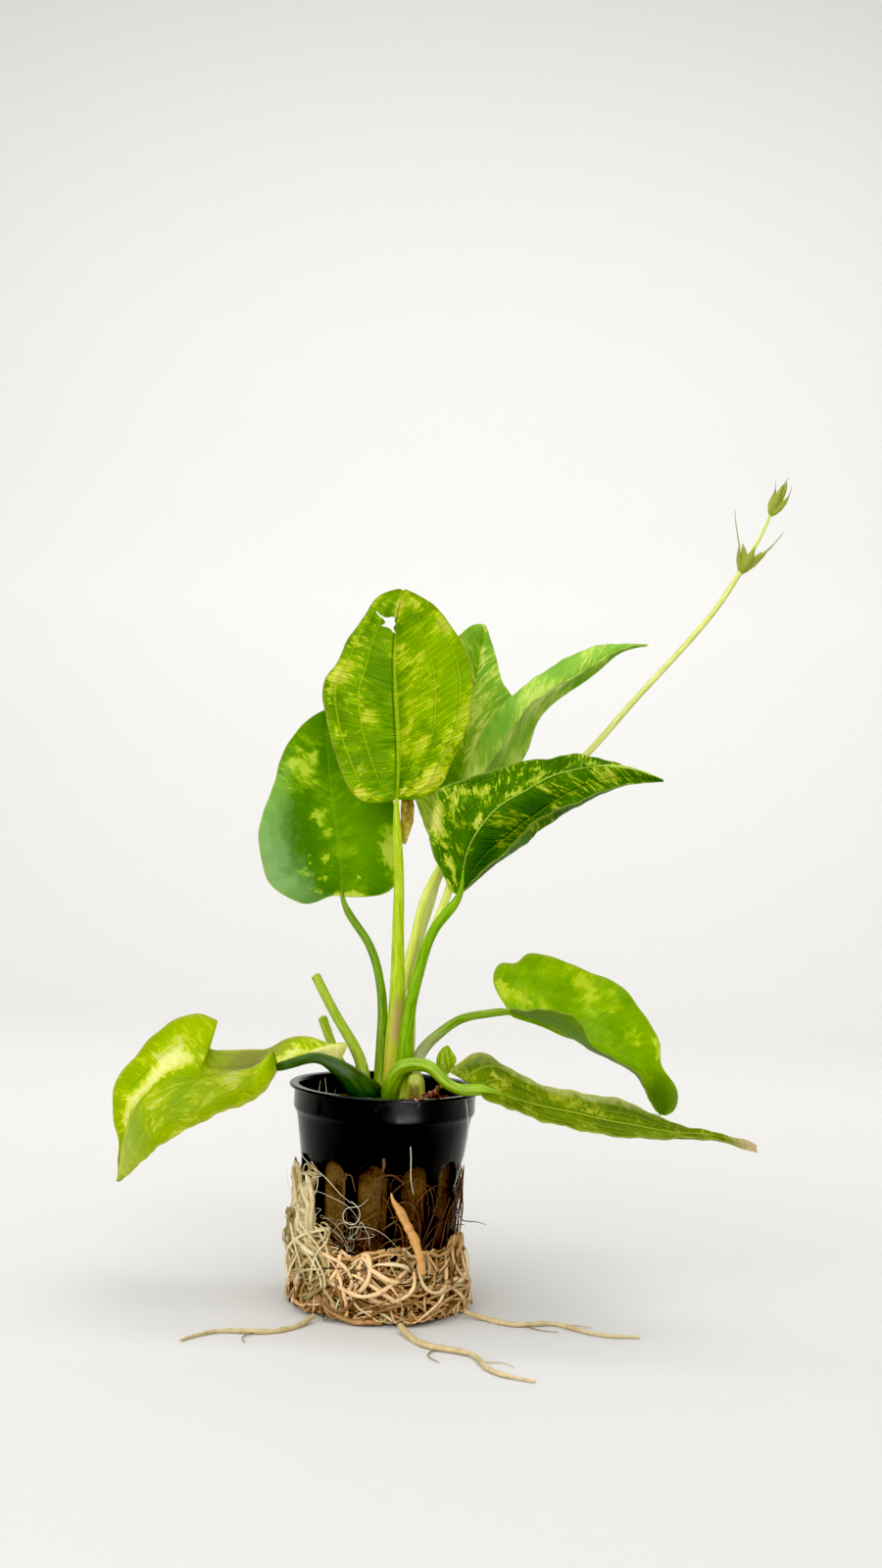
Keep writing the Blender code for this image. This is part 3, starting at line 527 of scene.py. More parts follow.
@dataclass(frozen=True)
class BladeFace(Finish):
    """One face of one leaf's blade."""

    tissue: LeafTissue
    side: Side
    patches: tuple[Patch, ...]
    # A number that tells this leaf's flecks from another's
    seed: float
    # Where the long veins run, as shares of the half width, which is in millimetres
    veins: tuple[float, ...]
    half_width: float

    def flecks(self, net: Graph, run: Socket, cross: Socket, size: tuple[float, float], shift: float) -> Socket:
        """A random value for each block between the cross veins.

        Args:
            net: The node tree.
            run: The place along the cross veins, in metres.
            cross: The place from one cross vein to the next.
            size: A block's length and height in millimetres.
            shift: A number that tells these blocks from others.

        Returns:
            The value, from 0 to 1.
        """
        ragged = net.noise(net.uv(METRES), per_metre(1.1), 2.0)
        wide = net.grow(ragged, 1.4, shift + self.seed)
        block = net.vector(net.grow(run, per_metre(size[0]), wide), net.math("MULTIPLY", cross, per_metre(size[1])))
        cells = net.add("TexVoronoi", {"Vector": block, "Scale": 1.0}, voronoi_dimensions="2D", distance="CHEBYCHEV")
        return net.add("SeparateColor", {0: cells.outputs["Color"]}).outputs[0]

    def paint(self, net: Graph) -> Socket:
        """Lays the ground, its flecks and tints (on some blades painted light, sheen or shade), the painted shade of
        the furrows and the midrib's groove, the veins, the margin and the dry tip.

        Args:
            net: The node tree.

        Returns:
            The shader.
        """
        own = self.tissue
        place = net.uv(VEINS)
        real = net.uv(METRES)
        sideways, upwards, _ = net.split(real)
        share, length, _ = net.split(place)
        across = net.math("ABSOLUTE", sideways)
        centred = net.grow(share, 2.0, -1.0)
        side_share = net.math("ABSOLUTE", centred)

        # Cross veins rise outwards, most of them at about 20 degrees, and wander by half a millimetre
        sway = net.noise(real, per_metre(6.0), 1.0)
        risen = net.grow(sideways, -own.lean, net.grow(across, -own.rise, upwards))
        cross = net.grow(sway, 1.6 * MM, risen)
        run = sideways
        if own.lengthwise < 1:
            there = net.math("GREATER_THAN", centred, own.lengthwise)
            cross = net.choose(there, cross, net.grow(sway, 6.0 * MM, across))
            run = net.choose(there, run, upwards)

        # Flecks are blocks between the cross veins, about 3 mm by 1.3 mm, with finer ones in them
        coarse = self.flecks(net, run, cross, (2.8, 1.3), 3.0)
        fine = self.flecks(net, run, cross, (1.0, 0.55), 7.0)
        drift = net.move(real, (self.seed * 0.01, self.seed * 0.013, 0.0))
        region = net.noise(drift, per_metre(13.0), 2.0, 0.55)
        paleness = net.grow(region, 1.1, own.cover - 1.27 + 0.645 * (1 - own.grain))
        torn = net.noise(drift, per_metre(3.2), 3.0, 0.65, output="Color")
        torn = net.move(net.move(torn, (-0.5, -0.5, 0.0)), (0.22, 0.14, 0.0), "MULTIPLY")
        ragged_place = net.move(place, torn)
        tints = []
        for patch in self.patches:
            near = patch.nearness(net, ragged_place)
            if patch.tint:
                tints.append((near, patch))
            else:
                paleness = net.grow(near, patch.strength, paleness)
        speckled = net.grow(coarse, 0.34 * own.grain, paleness)
        speckled = net.grow(fine, 0.20 * own.grain, speckled)
        streak_place = net.vector(run, cross)
        hatch = net.noise(net.move(streak_place, (per_metre(2.4), per_metre(0.42), 1.0), "MULTIPLY"), 1.0, 3.0, 0.6)
        speckled = net.grow(hatch, 0.75 * own.grain, speckled)

        # The green itself is streaked along the cross veins and mottled
        streaks = net.noise(net.move(streak_place, (per_metre(5.0), per_metre(0.8), 1.0), "MULTIPLY"), 1.0, 2.0)
        mottle = net.ease(net.grow(streaks, 0.5, net.grow(region, 0.9, 0.05)), 0.55, 0.95)
        ground = net.mix(mottle, own.deep, own.green)
        pale = net.ramp(speckled, (0.46, own.lime), (0.62, own.yellow), (0.86, own.cream))
        taken = net.span(speckled, 0.45 - own.softness, 0.45 + own.softness, 0.0, own.contrast)
        tissue = net.mix(taken, ground, pale)
        # Tints: the blade's own colours, and on some blades painted light, sheen or shade
        for area, patch in tints:
            tissue = net.mix(net.math("MULTIPLY", area, patch.strength), tissue, patch.tint)

        # Long veins at fixed shares of the half width, the midrib tapering, and cross veins 1.7 mm apart
        folded = net.math("PINGPONG", cross, 0.85 * MM)
        cross_veins = net.ease(folded, 0.22 * MM, 0.05 * MM)
        # Painted shade: the furrows between the cross veins are darkened with the deep green, and a line along one
        # side of the midrib with the shade colour, as the shadow in its groove
        furrow_shading = net.ease(folded, 0.3 * MM, 0.75 * MM, own.furrow_shade)
        taper = net.span(length, 0.0, 1.0, own.midrib / self.half_width, 0.3 / self.half_width)
        if own.groove_shade > 0:
            leaning = net.math("ADD", net.math("DIVIDE", centred, taper), 1.4)
            shaded = net.ease(net.math("ABSOLUTE", leaning), 1.0, 0.3, own.groove_shade)
            tissue = net.mix(shaded, tissue, own.shade)
        tissue = net.mix(furrow_shading, tissue, own.deep)
        shown = net.math("MULTIPLY", net.math("MULTIPLY", cross_veins, coarse), 0.7 * own.vein_show)
        long_veins = net.ease(net.math("DIVIDE", side_share, taper), 1.0, 0.4)
        shown = net.grow(long_veins, own.midrib_show, shown)
        for vein in self.veins:
            off = net.math("ABSOLUTE", net.math("SUBTRACT", side_share, vein))
            line = net.ease(off, 0.45 / self.half_width, 0.15 / self.half_width)
            shown = net.grow(line, own.vein_show, shown)
            long_veins = net.math("MAXIMUM", long_veins, line)
        tissue = net.mix(net.math("MINIMUM", shown, 1.0), tissue, own.vein)

        # The margin is a thin drier line
        margin = net.span(side_share, 1 - 0.7 / self.half_width, 1.0, 0.0, 0.7)
        tissue = net.mix(margin, tissue, own.edge)
        if own.dry_from < 1:
            drying = net.grow(fine, 0.04, length)
            tissue = net.mix(net.span(drying, own.dry_from, own.dry_from + 0.05), tissue, own.dry)

        relief = net.math("MULTIPLY", net.grow(long_veins, 2.0, cross_veins), self.side.value)
        bump = net.bump(net.grow(streaks, 0.8, relief), 0.26, own.relief)
        satin = net.span(region, 0.0, 1.0, own.roughness - 0.06, own.roughness + 0.10)
        body = net.body(tissue, satin, IOR=1.42, Specular_IOR_Level=own.sheen, Normal=bump)
        # Light passes both faces, so each takes the square root of the colour
        passing = net.add("Gamma", {0: tissue, 1: 0.5}).outputs[0]
        through = net.add("BsdfTranslucent", {"Color": passing, "Normal": bump}).outputs[0]
        return net.add("MixShader", {0: own.glow, 1: body, 2: through}).outputs[0]


@dataclass(frozen=True)
class Stalk(Finish):
    """Living stalk tissue: smooth, satin, streaked lengthwise, paler at its sheathing base.

    The eye sees long light and dark green lines that follow the stalk.
    """

    green: str
    light: str
    base: str
    stain: str = "a98a4c"
    stain_from: float = 0.0
    stain_to: float = 0.0
    # The stain is a streak: where it lies around the stalk (0.25 is the front) and its half width
    stain_centre: float = 0.25
    stain_reach: float = 0.16
    base_length: float = 8.0
    roughness: float = 0.42
    # The colour that it takes on near the blade
    tip: str = ""

    def paint(self, net: Graph) -> Socket:
        """Streaks the stalk, then adds its tip, base and stain.

        Args:
            net: The node tree.

        Returns:
            The shader.
        """
        height = net.split(net.uv(METRES))[1]
        share, turns, _ = net.split(net.uv(VEINS))
        # Streaks a quarter of a millimetre wide and about 15 mm long, round a closed section
        turned = net.math("MULTIPLY", turns, FULL_TURN)
        length = net.math("MULTIPLY", height, per_metre(15.0))
        streaks = net.noise(net.vector(net.math("COSINE", turned), net.math("SINE", turned), length), 3.0, 3.0)
        colour = net.mix(net.span(streaks, 0.35, 0.65), self.green, self.light)
        if self.tip:
            colour = net.mix(net.ease(share, 0.72, 0.93), colour, self.tip)
        colour = net.mix(net.ease(height, self.base_length * MM, 0.0, 0.85), colour, self.base)
        if self.stain_to > 0:
            middle = 0.5 * (self.stain_from + self.stain_to) * MM
            reach = 0.5 * (self.stain_to - self.stain_from) * MM
            off = net.math("ABSOLUTE", net.math("SUBTRACT", height, middle))
            spot = net.span(net.grow(streaks, -1.4 * reach, off), 0.3 * reach, -0.1 * reach, 0.0, 0.75)
            beside = net.math("ABSOLUTE", net.math("SUBTRACT", turns, self.stain_centre))
            streak = net.span(beside, self.stain_reach, 0.5 * self.stain_reach)
            colour = net.mix(net.math("MULTIPLY", spot, streak), colour, self.stain)
        return net.body(colour, self.roughness, IOR=1.42, Specular_IOR_Level=0.3, Subsurface_Weight=0.15,
                        Subsurface_Scale=0.0006, Normal=net.bump(streaks, 0.12, 0.6))


@dataclass(frozen=True)
class RootBark(Finish):
    """Water roots: wet and slightly glossy, each in its own shade, with dark scuffs along it."""

    dark: str
    mid: str
    pale: str
    scuff: str = "3a2614"
    scuffed: float = 0.35
    roughness: float = 0.45

    def paint(self, net: Graph) -> Socket:
        """Shades each root and scuffs it.

        Args:
            net: The node tree.

        Returns:
            The shader.
        """
        shade = net.split(net.uv(VEINS))[0]
        moved = net.move(net.uv(METRES), net.vector(shade))
        blotches = net.noise(moved, per_metre(4.0), 3.0)
        mixing = net.grow(blotches, 0.5, shade)
        colour = net.ramp(mixing, (0.25, self.dark), (0.65, self.mid), (1.1, self.pale))
        grime = net.noise(moved, per_metre(1.3), 4.0)
        colour = net.mix(net.span(grime, 0.56, 0.72, 0.0, self.scuffed), colour, self.scuff)
        return net.body(colour, self.roughness, IOR=1.4, Subsurface_Weight=0.1, Subsurface_Scale=0.0004,
                        Normal=net.bump(grime, 0.15, 0.6))


@dataclass(frozen=True)
class MouldedPolypropylene(Finish):
    """Black injection-moulded polypropylene: glossy, with a faint grey bloom of dried water."""

    black: str = "030304"
    bloom: str = "2c2d32"
    roughness: float = 0.2

    def paint(self, net: Graph) -> Socket:
        """Clouds the black with the bloom, where it is also duller.

        Args:
            net: The node tree.

        Returns:
            The shader.
        """
        place = net.place()
        cloud = net.noise(place, per_metre(9.0), 4.0)
        specks = net.noise(place, per_metre(0.9), 2.0)
        haze = net.span(cloud, 0.45, 0.8, 0.0, 0.10)
        dots = net.span(specks, 0.70, 0.78, 0.0, 0.35)
        colour = net.mix(net.math("ADD", haze, dots, clamp=True), self.black, self.bloom)
        gloss = net.span(cloud, 0.3, 0.75, self.roughness - 0.05, self.roughness + 0.1)
        return net.body(colour, gloss, IOR=1.49, Specular_IOR_Level=0.18, Normal=net.bump(cloud, 0.25, 0.25))


@dataclass(frozen=True)
class MineralWool(Finish):
    """Spun mineral wool, grown through and stained brown: a dull felt of short fibres."""

    dark: str = "21150b"
    brown: str = "624a2c"
    light: str = "86683a"

    def paint(self, net: Graph) -> Socket:
        """Mixes tufts and fibres.

        Args:
            net: The node tree.

        Returns:
            The shader.
        """
        place = net.place()
        tufts = net.noise(place, per_metre(5.0), 3.0)
        # Real fibres are under 0.01 mm; they are drawn 0.8 mm apart so that they show
        fibres = net.noise(place, per_metre(0.8), 5.0, 0.7, 1.2)
        mixing = net.grow(tufts, 0.6, net.grow(fibres, 0.7, -0.1))
        colour = net.ramp(mixing, (0.36, self.dark), (0.56, self.brown), (0.78, self.light))
        return net.body(colour, 0.92, IOR=1.4, Specular_IOR_Level=0.15, Normal=net.bump(fibres, 0.5, 0.9))


@dataclass(frozen=True)
class DriedTissue(Finish):
    """Dried leaf and crumbs of old stalk: brown, mottled, quite matt."""

    brown: str = "94802a"
    pale: str = "a8a044"
    dark: str = "6a5a20"

    def paint(self, net: Graph) -> Socket:
        """Mottles the brown.

        Args:
            net: The node tree.

        Returns:
            The shader.
        """
        mottle = net.noise(net.place(), per_metre(2.2), 4.0)
        colour = net.ramp(mottle, (0.35, self.dark), (0.5, self.brown), (0.68, self.pale))
        return net.body(colour, 0.75, IOR=1.4, Normal=net.bump(mottle, 0.3, 0.7))


@dataclass(frozen=True)
class StudioPaper(Finish):
    """Matt white paper, graded by height as painted light and shade: darker on the floor, lightest about 0.35 m up, a
    little darker above.
    """

    floor: str = "cfcecc"
    bend: str = "dbdbd9"
    wall: str = "d3d2d1"

    def paint(self, net: Graph) -> Socket:
        """Grades the paper by its height in metres, as painted shade on the floor and high on the wall."""
        height = net.split(net.place())[2]
        return net.body(net.ramp(height, (0.0, self.floor), (0.35, self.bend), (0.95, self.wall)), 0.85)


TOP_TISSUE = LeafTissue(green="92b80a", deep="548408", lime="a4c410", yellow="ccd830", cream="dedc58", vein="a4c428",
    edge="8f8a34", cover=0.37, roughness=0.5, vein_show=0.5, midrib=0.75, groove_shade=0.85, furrow_shade=0.42, softness=0.02,
    rise=0.26, lean=0.16)
BACK_TISSUE = LeafTissue(green="528206", deep="407006", lime="88b014", yellow="b0c830", cream="c8d450", vein="7ca424",
    cover=0.36, contrast=0.85, vein_show=0.04, midrib_show=0.3, roughness=0.42, softness=0.14, grain=0.55,
    furrow_shade=0.04, relief=0.2, sheen=0.12)
HAZY_TISSUE = LeafTissue(green="88b02c", deep="649624", lime="acc840", yellow="c8d860", cream="e0e890", vein="a0c44c",
    cover=0.48, contrast=0.85, vein_show=0.04, midrib_show=0.25, roughness=0.45, glow=0.12, rise=0.6, softness=0.07,
    grain=0.75, furrow_shade=0.0, relief=0.2)
FAR_TISSUE = LeafTissue(green="94bc3c", deep="70a430", lime="b0cc50", yellow="ccdc70", cream="e0e89c", vein="a8cc60",
    cover=0.46, contrast=0.85, vein_show=0.05, midrib_show=0.25, roughness=0.45, glow=0.12, rise=1.2, softness=0.05,
    grain=0.7, furrow_shade=0.0, relief=0.2)
DARK_TISSUE = LeafTissue(green="4e800e", deep="305806", lime="90b01c", yellow="b4c038", cream="ccd068", vein="a8c44c",
    edge="8c9c3c", cover=0.38, roughness=0.5, vein_show=0.14, midrib_show=0.85, midrib=0.55, glow=0.15, groove_shade=0.4,
    shade="1c3804", furrow_shade=0.3, sheen=0.15, softness=0.02)
# Painted light: these greens are much paler than the underside's own colour, to light the rolled edge that faces away
# from the lamps
DARK_UNDER = LeafTissue(green="c0e050", deep="a8d044", lime="cce45c", yellow="dcec78", cream="e8f0a0", vein="ccdc78",
    edge="8c8c40", cover=0.38, contrast=0.6, roughness=0.55, vein_show=0.2, glow=0.08, furrow_shade=0.1, relief=0.3)
FRESH_TISSUE = LeafTissue(green="86ae08", deep="6c9a08", lime="a8c614", yellow="c0d030", cream="ccd84c",
    vein="98bc14", cover=0.36, contrast=0.8, vein_show=0.03, midrib_show=0.15, roughness=0.42, softness=0.12,
    grain=0.55, furrow_shade=0.0, relief=0.12)
# Painted shade: these greens are darker than the underside's own colour, for the shade under the folded blade
FRESH_UNDER = LeafTissue(green="5c7618", deep="42580e", lime="6c8420", yellow="88983a", cream="a4ac58", vein="708828",
    cover=0.30, contrast=0.5, vein_show=0.1, roughness=0.5, glow=0.1, furrow_shade=0.05, relief=0.3)
OLIVE_TISSUE = LeafTissue(green="6e8606", deep="4a6204", lime="8c9c14", yellow="b0b434", cream="c4c058",
    vein="a4b438", edge="a8a84c", cover=0.37, contrast=0.8, vein_show=0.3, midrib_show=0.7, dry_from=0.90,
    roughness=0.5, softness=0.07, furrow_shade=0.2, groove_shade=0.4, midrib=0.7, relief=0.5)
YELLOW_TISSUE = LeafTissue(green="a8c00a", deep="8cac10", lime="c0d018", yellow="d8dc40", cream="ecea98",
    vein="b8cc30", edge="b8b450", cover=0.38, contrast=0.9, vein_show=0.05, midrib_show=0.15, roughness=0.42,
    glow=0.3, rise=0.6, furrow_shade=0.1, softness=0.03, lengthwise=0.03, relief=0.4)
YELLOW_UNDER = LeafTissue(green="a0b43c", deep="88a034", lime="b4c450", yellow="ccd070", cream="e4e4a4",
    vein="b0bc50", cover=0.46, contrast=0.85, vein_show=0.1, roughness=0.5, glow=0.2, furrow_shade=0.2, lengthwise=-2.0)
NEW_TISSUE = LeafTissue(green="98b81c", deep="7ca414", lime="b0cc2c", yellow="c4d848", cream="d8e070", vein="c4d85c",
    cover=0.30, contrast=0.6, vein_show=0.3, roughness=0.42)

STALK_FINISH = Stalk(green="5c8c0a", light="84ac18", base="b0b94a", tip="a4b848")
SHADED_STALK = Stalk(green="4c7410", light="78981c", base="94a838", tip="6c7c2c")
ARCHED_STALK = Stalk(green="5c8010", light="88a828", base="e0dcb0", base_length=24.0, tip="606430")
LOW_STALK = Stalk(green="6a9016", light="98b434", base="3c6808", base_length=6.0, tip="849a20")
PALE_STALK = Stalk(green="c0cc48", light="dce478", base="d4d470")
STAINED_STALK = Stalk(green="8aa80c", light="b6c834", base="c0ac44", stain="b08c60", stain_from=13.0, stain_to=27.0,
    stain_centre=0.28, base_length=24.0, tip="ccdc78")
# Partly painted shade: the low sheathing stalk is darker than its own green, almost black at its base by the crown
DARK_STALK = Stalk(green="26400a", light="3e5e12", base="141f06", base_length=5.0)
CUT_STALK = Stalk(green="7c981c", light="a4b83c", base="8c7c34", stain="6c5424", stain_from=0.0, stain_to=7.0,
    stain_reach=0.9, tip="9cb030")
STUMP_FINISH = Stalk(green="8c9830", light="b8bc5c", base="7c6c30", stain="4a3014", stain_from=2.0, stain_to=9.0,
    stain_centre=0.2, stain_reach=0.14)
FLOWER_FINISH = Stalk(green="b6bc5c", light="d8dc8c", base="c4d060", base_length=40.0, roughness=0.45)
BUD_FINISH = Stalk(green="6c8418", light="a8a84c", base="7c9024", base_length=2.0, roughness=0.5)
AWN_FINISH = Stalk(green="b8b49c", light="d4d0bc", base="a8b070", base_length=3.0, roughness=0.6)

BROWN_ROOT = RootBark(dark="74502a", mid="bc9058", pale="e4c292", scuffed=0.45)
CREAM_ROOT = RootBark(dark="84703e", mid="b4a070", pale="dccca0", scuffed=0.35)
WHITE_ROOT = RootBark(dark="9a8c6c", mid="c0b494", pale="dcd4bc", scuffed=0.15)
TAN_ROOT = RootBark(dark="a87438", mid="c08c4c", pale="d4a468", scuffed=0.3)
RUSTY_ROOT = RootBark(dark="1e1008", mid="3c2010", pale="644426", scuffed=0.5)


# Leaves


# Where a blade has extra columns, as shares of its half width: by the midrib, and beside each long vein
MIDRIB_COLUMNS = (0.01, 0.02, 0.032, 0.075)
VEIN_COLUMNS = (-0.022, -0.01, 0.0, 0.01, 0.022)
COLUMN_GAP = 0.007


def sheet_faces(torn: np.ndarray) -> tuple[list[Face], list[int]]:
    """Faces for a sheet's upper grid, its lower grid and the rims that join them.

    Args:
        torn: Whether each cell is left out, by row and column.

    Returns:
        The faces, and for each the index of its finish: 0 above and at the rims, 1 below.
    """
    rows, columns = torn.shape[0] + 1, torn.shape[1] + 1
    below = rows * columns
    faces: list[Face] = []
    slots: list[int] = []
    edges: set[tuple[int, int]] = set()
    for row, column in np.argwhere(~torn):
        corner = int(row) * columns + int(column)
        ring = (corner, corner + 1, corner + columns + 1, corner + columns)
        faces += [ring, tuple(index + below for index in reversed(ring))]
        slots += [0, 1]
        edges.update(zip(ring, ring[1:] + ring[:1]))
    for here, there in sorted(edges):
        if (there, here) not in edges:
            faces.append((there, here, here + below, there + below))
            slots.append(0)
    return faces, slots


@dataclass
class Leaf:
    """A grown leaf on its stalk. Routes run from the base of each part to its tip.

    The left margin is the one on the left for someone looking along the leaf at its upper side.
    A bulge lists (share of the length, height) pairs: how far that half swells towards its
    upper side. A curl above 1 moves the bulge out towards the margin, for a cupped edge.
    """

    name: str
    stalk: list[Point]
    stalk_radius: float
    midrib: list[Point]
    left_margin: list[Point]
    right_margin: list[Point]
    left_bulge: list[tuple[float, float]]
    right_bulge: list[tuple[float, float]]
    tissue: LeafTissue
    under: LeafTissue
    stalk_finish: Stalk
    patches: tuple[Patch, ...] = ()
    seed: float = 0.0
    half_width: float = 18.0
    right_curl: float = 1.0
    left_lobe: bool = False
    right_lobe: bool = False
    last_share: float = 0.992
    rows: int = 120
    # Radii of the stalk from its base to the blade, as shares of stalk_radius
    flare: tuple[float, ...] = (1.8, 1.5, 1.2, 1.05, 1.0, 0.95, 0.8)
    veins: tuple[float, ...] = (0.30, 0.56, 0.82)
    # Fullest thickness of the blade away from the midrib, and how far the midrib stands out
    thickness: float = 0.34
    rib: float = 0.55
    pace: float = 1.25
    # Columns in each half of the blade
    fineness: int = 20
    # Depth of the valleys at the long veins
    pleat: float = 0.2
    # Height and lengths of the small waves along the margins
    ruffle: float = 0.25
    wave_lengths: tuple[float, float] = (9.5, 4.3)
    hole: list[tuple[float, float]] = field(default_factory=list)

    def columns(self) -> np.ndarray:
        """Shares of the half width where the mesh has a column, close together at the veins."""
        places = set(np.linspace(0, 1, self.fineness + 1)[1:].round(4))
        places.update(MIDRIB_COLUMNS)
        for vein in self.veins:
            places.update(round(vein + step, 4) for step in VEIN_COLUMNS)
        kept = [MIDRIB_COLUMNS[0]]
        for place in sorted(places):
            if place - kept[-1] > COLUMN_GAP:
                kept.append(place)
        kept[-1] = 1.0
        return np.array(kept)

    def surface(self) -> tuple[np.ndarray, np.ndarray, np.ndarray]:
        """Lays out the blade's middle surface.

        Returns:
            The points by row and column, each column's signed share of the half width, and each
            row's share of the length.
        """
        first = 0.0 if self.left_lobe or self.right_lobe else 0.004
        shares = np.linspace(first, self.last_share, self.rows)
        midrib = smooth_route(self.midrib, 301)
        middle = along(midrib, shares**self.pace)
        forward = along(unit(np.gradient(midrib, axis=0)), shares**self.pace)
        length = np.linalg.norm(np.diff(midrib, axis=0), axis=1).sum()
        # The long veins spread from the base over the first two fifths of the blade
        spread = np.clip(shares / 0.4, 0.004, 1) ** 0.4
        calm_ends = np.clip(np.minimum(shares, 1 - shares) * 7, 0, 1)
        long_wave, short_wave = (shares * length * FULL_TURN / wave for wave in self.wave_lengths)
        waves = np.sin(long_wave + self.seed * 3) + 0.6 * np.sin(short_wave + self.seed)
        parts = self.columns()
        grid = np.zeros((self.rows, 2 * len(parts) + 1, 3))
        grid[:, len(parts)] = middle
        halves = ((1, self.left_margin, self.left_bulge, 1.0, self.left_lobe),
                  (-1, self.right_margin, self.right_bulge, self.right_curl, self.right_lobe))
        for side, margin, bulge, curl, lobe in halves:
            start = [] if lobe else [self.midrib[0]]
            edge = along(smooth_route(start + margin + [self.midrib[-1]], 301), shares)
            across = edge - middle
            upwards = unit(np.cross(forward, across) * side)
            height = np.interp(shares, *zip(*bulge))
            peak = (curl / (curl + 1)) ** curl / (curl + 1)
            width = np.linalg.norm(across, axis=1)
            for number, part in enumerate(parts):
                reach = part * (spread + (1 - spread) * part**3)
                lift = height * reach**curl * (1 - reach) / peak + self.ruffle * reach**3 * waves * calm_ends
                # The tissue between two long veins swells a little above them
                nearest = min(abs(part - vein) for vein in (0.0,) + self.veins)
                lift = lift - self.pleat * np.exp(-(nearest * width * spread) ** 2) * np.clip(width / 8, 0, 1)
                grid[:, len(parts) + side * (number + 1)] = middle + reach[:, None] * across + upwards * lift[:, None]
        signed = np.concatenate([-parts[::-1], [0.0], parts])
        return grid, signed, shares

    def build_blade(self) -> bpy.types.Object:
        """Builds the blade as a closed sheet with a raised midrib below.

        Returns:
            The blade.
        """
        grid, signed, shares = self.surface()
        torn = self.torn_cells(grid)
        rows, columns = grid.shape[:2]
        normals = unit(np.cross(np.gradient(grid, axis=0), np.gradient(grid, axis=1)))
        steps = np.linalg.norm(np.diff(grid, axis=1), axis=2)
        sideways = np.concatenate([np.zeros((rows, 1)), np.cumsum(steps, axis=1)], axis=1)
        sideways -= sideways[:, [columns // 2]]
        lengthwise = walked(grid[:, columns // 2])
        narrow = np.linalg.norm(grid[:, 0] - grid[:, -1], axis=1)
        half = np.minimum(self.thickness, 0.12 * narrow)[:, None] / 2 * (1 - 0.45 * np.abs(signed)[None, :] ** 3)
        rib_radius = self.rib * np.interp(shares, [0, 0.3, 0.8, 1], [1.35, 1.0, 0.5, 0.15])[:, None]
        ridge = rib_radius * np.exp(-((sideways / np.maximum(0.75 * rib_radius, 0.05)) ** 2))
        for vein in self.veins:
            apart = (np.abs(signed)[None, :] - vein) * np.abs(sideways[:, [0]]) / 0.28
            ridge = ridge + 0.16 * np.exp(-(apart**2)) * np.interp(shares, [0, 0.1, 0.8, 1], [1, 1, 0.6, 0])[:, None]
        upper = grid + normals * half[:, :, None]
        lower = grid - normals * (half + ridge * np.clip(narrow / 6, 0, 1)[:, None])[:, :, None]
        faces, slots = sheet_faces(torn)
        vertices = np.vstack([upper.reshape(-1, 3), lower.reshape(-1, 3)])
        whole = np.ones((rows, columns))
        corners = np.concatenate([np.array(face) for face in faces]) % (rows * columns)
        maps = {VEINS: np.stack([(signed + 1) / 2 * whole, shares[:, None] * whole], -1),
                METRES: np.stack([sideways, lengthwise[:, None] * whole], -1) * MM}
        shape = Shape()
        shape.add(vertices, faces, {name: places.reshape(-1, 2)[corners].tolist() for name, places in maps.items()})
        shape.slots = slots
        return shape.make("fine_" + self.name + "_blade", 75.0)

    def torn_cells(self, grid: np.ndarray) -> np.ndarray:
        """Finds the cells that the hole takes, and moves the points round them onto its ragged edge.

        Args:
            grid: The blade's middle surface, whose points may be moved.

        Returns:
            Whether each cell is torn away, by row and column.
        """
        rows, columns = grid.shape[:2]
        torn = np.zeros((rows - 1, columns - 1), bool)
        if not self.hole:
            return torn
        outline = np.array(self.hole, float)
        following = np.roll(outline, -1, axis=0)
        flat = grid[..., [0, 2]][:, :, None]
        crosses = (outline[:, 1] > flat[..., 1]) != (following[:, 1] > flat[..., 1])
        rise = np.where(following[:, 1] == outline[:, 1], 1e-9, following[:, 1] - outline[:, 1])
        meets = outline[:, 0] + (flat[..., 1] - outline[:, 1]) * (following[:, 0] - outline[:, 0]) / rise
        inside = (crosses & (flat[..., 0] < meets)).sum(-1) % 2 == 1
        torn = inside[:-1, :-1].astype(int) + inside[1:, :-1] + inside[:-1, 1:] + inside[1:, 1:] >= 2
        kept = np.zeros((rows, columns), bool)
        gone = np.zeros((rows, columns), bool)
        for down in (0, 1):
            for over in (0, 1):
                kept[down:rows - 1 + down, over:columns - 1 + over] |= ~torn
                gone[down:rows - 1 + down, over:columns - 1 + over] |= torn
        edge = following - outline
        for row, column in np.argwhere(kept & gone):
            point = grid[row, column, [0, 2]]
            share = np.clip(((point - outline) * edge).sum(1) / (edge**2).sum(1), 0, 1)
            nearest = outline + share[:, None] * edge
            grid[row, column, [0, 2]] = nearest[np.argmin(np.linalg.norm(nearest - point, axis=1))]
        return torn

    def build_stalk(self) -> bpy.types.Object:
        """Builds the ridged stalk, from its sheathing base into the midrib.

        Returns:
            The stalk.
        """
        midrib = smooth_route(self.midrib, 60)
        curve = smooth_route(self.stalk[:-1] + [self.midrib[0], tuple(midrib[5])], 70)
        radii = profiled(self.stalk_radius, len(curve), np.linspace(0, 1, len(self.flare)), list(self.flare))
        radii[-12:] *= np.linspace(1.0, 0.25, 12)
        shape = Shape()
        shape.add(*swept(curve, radii, 20, ribs=5, rib_depth=0.06))
        return shape.make("fine_" + self.name + "_stalk")

    def build(self) -> None:
        """Builds and dresses the blade and the stalk."""
        own = (self.patches, self.seed, self.veins, self.half_width)
        upper = BladeFace(self.tissue, Side.UPPER, *own).material(self.name + "_upper")
        under = BladeFace(self.under, Side.UNDER, *own).material(self.name + "_under")
        settle(self.build_blade(), "leaf_blade", (self.name + "_blade",), upper, under)
        stalk_name = self.name + "_stalk"
        settle(self.build_stalk(), "leaf_stalk", (stalk_name,), self.stalk_finish.material(stalk_name))


STALK_BASE = 53.5

